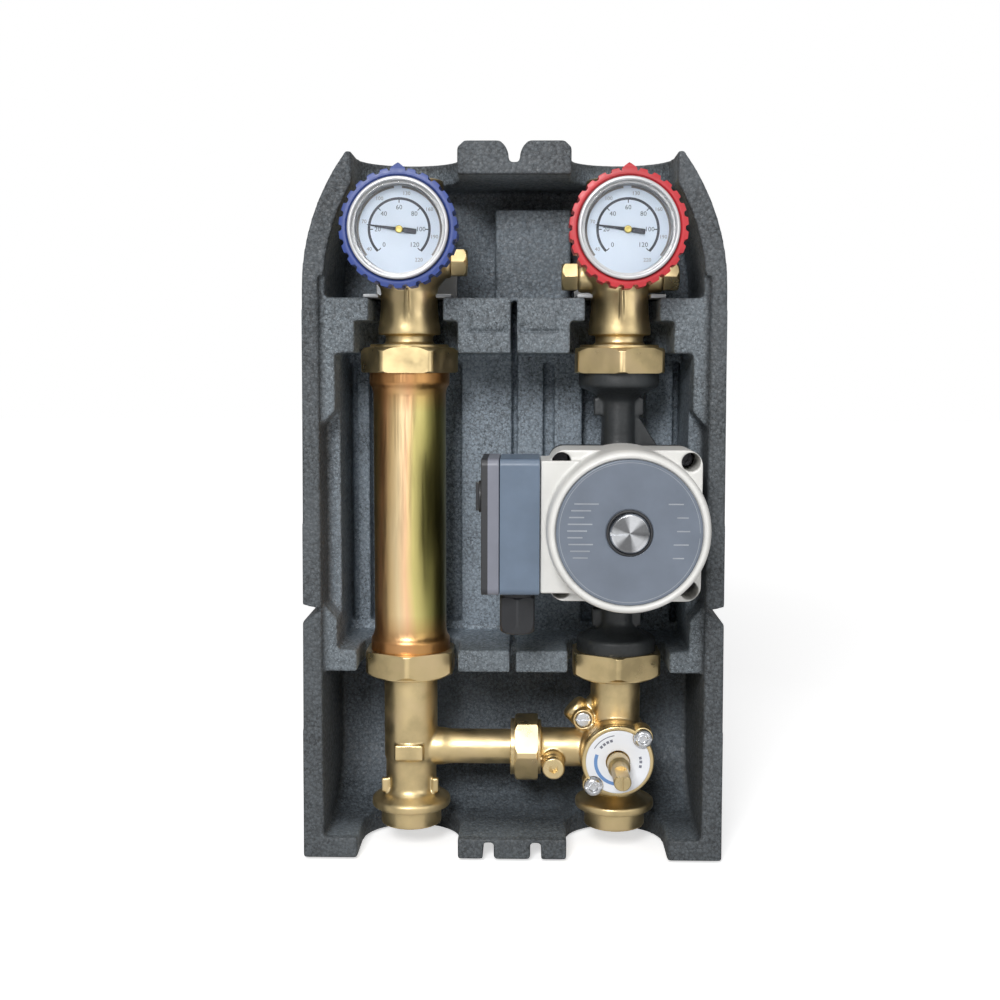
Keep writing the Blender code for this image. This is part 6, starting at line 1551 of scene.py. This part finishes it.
INNER_NODES = {
    "seal_fibre": (
        "gasket_cross", "gasket_return_upper", "gasket_return_lower",
        "gasket_flow_upper", "gasket_flow_lower",
    ),
    "seat_plastic": (
        "return_valve_seat_lower", "return_valve_seat_upper",
        "flow_valve_seat_lower", "flow_valve_seat_upper",
    ),
    "polished_chrome": ("return_valve_ball", "flow_valve_ball"),
    "stem_brass": ("return_valve_stem", "flow_valve_stem", "mixing_rotor"),
    "pressed_steel": ("pump_bearing_plate", "pump_rotor_can", "pump_rotor"),
    "winding_copper": ("pump_stator",),
    "impeller_plastic": ("pump_impeller",),
}
INNER_COLOURS = {
    "polished_chrome": (0.72, 0.73, 0.75),
    "stem_brass": (0.60, 0.41, 0.14),
    "pressed_steel": (0.55, 0.55, 0.56),
    "impeller_plastic": (0.035, 0.036, 0.038),
}


class InnerLooks(bpy.types.PropertyGroup):
    """Pieces inside the valves and the pump, which keep their CAD shapes."""
    seal: tint("Seals", "Fibre of the flat seals", (0.030, 0.032, 0.034))
    seat: tint("Seats", "Plastic of the ball seats", (0.78, 0.78, 0.75))
    copper: tint("Windings", "Copper of the stator", (0.45, 0.17, 0.075))


class STATION_OT_inner_pieces(bpy.types.Operator):
    """Finishes the pieces inside, which are shown with their CAD shapes"""
    bl_idname = "station.inner_pieces"
    bl_label = "Inner pieces"

    def execute(self, context):
        looks = context.scene.inner_looks
        colours = INNER_COLOURS | {
            "seal_fibre": looks.seal, "seat_plastic": looks.seat, "winding_copper": looks.copper,
        }
        for finish, nodes in INNER_NODES.items():
            make = brass_finish if finish in BRASSES else worn_finish
            coat = make(finish, colours[finish])
            for name in nodes:
                node = frame["nodes"][name]
                node.data.materials.clear()
                node.data.materials.append(coat)
        return {"FINISHED"}


# Distances from the object between which the floor turns from the near glow to the far one
FLOOR_FADE = (0.45, 1.60)
FLOOR_SIZE = 12.0
FLOOR_ROUGHNESS = 0.9
FLOOR_TONE = (0.86, 0.86, 0.86, 1.0)
WHITE = (1.0, 1.0, 1.0, 1.0)
SENSOR_WIDTH = 36.0
CLIP_START = 0.01
# Soft lights as (name, place, side of the square, power in watts)
LAMPS = (
    ("key_light", (-0.27, -1.50, 0.72), 0.45, 19.5),
    ("fill_light", (0.95, -1.20, 0.40), 0.9, 4.0),
    ("top_light", (-0.10, -0.45, 1.25), 0.8, 5.0),
)


class StageLooks(bpy.types.PropertyGroup):
    """Camera and light of the picture."""
    lens: amount("Lens", "Focal length in millimetres", 48.3)
    camera_place: bpy.props.FloatVectorProperty(
        name="Camera place", description="Where the camera stands", subtype="TRANSLATION",
        default=(0.0089, -0.8852, 0.0856),
    )
    camera_yaw: turning("Camera yaw", "Turn to the right", -1.22)
    camera_pitch: turning("Camera pitch", "Tilt downwards", 5.85)
    camera_roll: turning("Camera roll", "Turn about the view", 0.14)
    floor_gap: length("Floor gap", "Space under the shell", 1.5)
    background: amount("Background", "White seen by the camera", 1.0)
    ambient: amount("Ambient", "Light from all round", 0.14)
    mirrored: amount("Mirrored", "White that metal mirrors", 0.50)
    near_glow: amount("Near glow", "White added to the floor nearby", 0.60)
    far_glow: amount("Far glow", "White added to the floor far off", 0.90)


def lamp(name, place, size, power):
    """A square soft light that looks at the middle of the pipe axes."""
    made = added(bpy.ops.object.light_add, name, type="AREA", location=place)
    made.data.size = size
    made.data.energy = power
    direction = Vector((0.0, AXIS_Y, 0.0)) - Vector(place)
    made.rotation_euler = direction.to_track_quat("-Z", "Y").to_euler()


class STATION_OT_stage(bpy.types.Operator):
    """Sets the floor, the background, the soft lights and the camera"""
    bl_idname = "station.stage"
    bl_label = "Stage"

    def execute(self, context):
        looks = context.scene.stage_looks
        context.scene.view_settings.view_transform = "Standard"
        ground = (0.0, 0.0, CAD_BOX[0][2] - looks.floor_gap)
        floor = added(bpy.ops.mesh.primitive_plane_add, "pale_floor", size=FLOOR_SIZE, location=ground)
        coat = Coat("pale_floor", FLOOR_ROUGHNESS)
        coat.shader.inputs["Base Color"].default_value = FLOOR_TONE
        coat.shader.inputs["Emission Color"].default_value = WHITE
        glow = coat.spread(coat.distance(coat.place), looks.near_glow, looks.far_glow, *FLOOR_FADE)
        seen = coat.node("ShaderNodeLightPath").outputs["Is Camera Ray"]
        coat.feed(coat.shader.inputs["Emission Strength"], coat.sum("MULTIPLY", glow, seen))
        floor.data.materials.append(coat.made)

        context.scene.world = bpy.data.worlds.new("studio")
        sky = Nodes(context.scene.world)
        sky.tree.nodes.clear()
        ways = sky.node("ShaderNodeLightPath").outputs
        ambient, mirrored, background = (
            sky.node("ShaderNodeBackground", Color=WHITE, Strength=strength).outputs["Background"]
            for strength in (looks.ambient, looks.mirrored, looks.background)
        )
        lit = sky.blend(ways["Is Glossy Ray"], ambient, mirrored)
        seen = sky.sum("MAXIMUM", ways["Is Camera Ray"], ways["Is Transmission Ray"])
        sky.node("ShaderNodeOutputWorld", Surface=sky.blend(seen, lit, background))

        for values in LAMPS:
            lamp(*values)

        yaw = looks.camera_yaw
        pitch = looks.camera_pitch
        level = math.cos(pitch)
        ahead = Vector((math.sin(yaw) * level, math.cos(yaw) * level, -math.sin(pitch)))
        right = Vector((math.cos(yaw), -math.sin(yaw), 0.0))
        turn = Matrix((right, right.cross(ahead), -ahead)).transposed()
        camera = added(bpy.ops.object.camera_add, "front_camera", location=looks.camera_place)
        camera.rotation_euler = (turn @ Matrix.Rotation(looks.camera_roll, 3, "Z")).to_euler()
        camera.data.sensor_width = SENSOR_WIDTH
        camera.data.lens = looks.lens
        camera.data.clip_start = CLIP_START
        context.scene.camera = camera
        return {"FINISHED"}


GROUPS = {
    "shell_looks": ShellLooks,
    "line_looks": LineLooks,
    "valve_looks": ValveLooks,
    "mixing_looks": MixingLooks,
    "pump_looks": PumpLooks,
    "inner_looks": InnerLooks,
    "stage_looks": StageLooks,
}
MAKERS = (
    STATION_OT_foam_shell,
    STATION_OT_union_nuts,
    STATION_OT_spacer_tube,
    STATION_OT_tee,
    STATION_OT_valve_bodies,
    STATION_OT_handles,
    STATION_OT_thermometers,
    STATION_OT_mixing_valve,
    STATION_OT_mixing_front,
    STATION_OT_pump_housing,
    STATION_OT_motor,
    STATION_OT_terminal_box,
    STATION_OT_inner_pieces,
    STATION_OT_stage,
)


class STATION_PT_panel(bpy.types.Panel):
    """Lists the sizes, the colours and the pieces of the pump station in the sidebar."""
    bl_idname = "STATION_PT_panel"
    bl_label = "Pump station"
    bl_space_type = "VIEW_3D"
    bl_region_type = "UI"
    bl_category = "Pump station"

    def draw(self, context):
        for name, kind in GROUPS.items():
            group = self.layout.box()
            for value in kind.__annotations__:
                group.prop(getattr(context.scene, name), value)
        for maker in MAKERS:
            self.layout.operator(maker.bl_idname)


def register():
    for kind in tuple(GROUPS.values()) + MAKERS + (STATION_PT_panel,):
        bpy.utils.register_class(kind)
    for name, kind in GROUPS.items():
        setattr(bpy.types.Scene, name, bpy.props.PointerProperty(type=kind))


def unregister():
    for name in GROUPS:
        delattr(bpy.types.Scene, name)
    for kind in (STATION_PT_panel,) + MAKERS[::-1] + tuple(GROUPS.values()):
        bpy.utils.unregister_class(kind)


def main():
    """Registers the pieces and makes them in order."""
    register()
    for maker in MAKERS:
        group, name = maker.bl_idname.split(".")
        getattr(getattr(bpy.ops, group), name)()


if __name__ == "__main__":
    main()
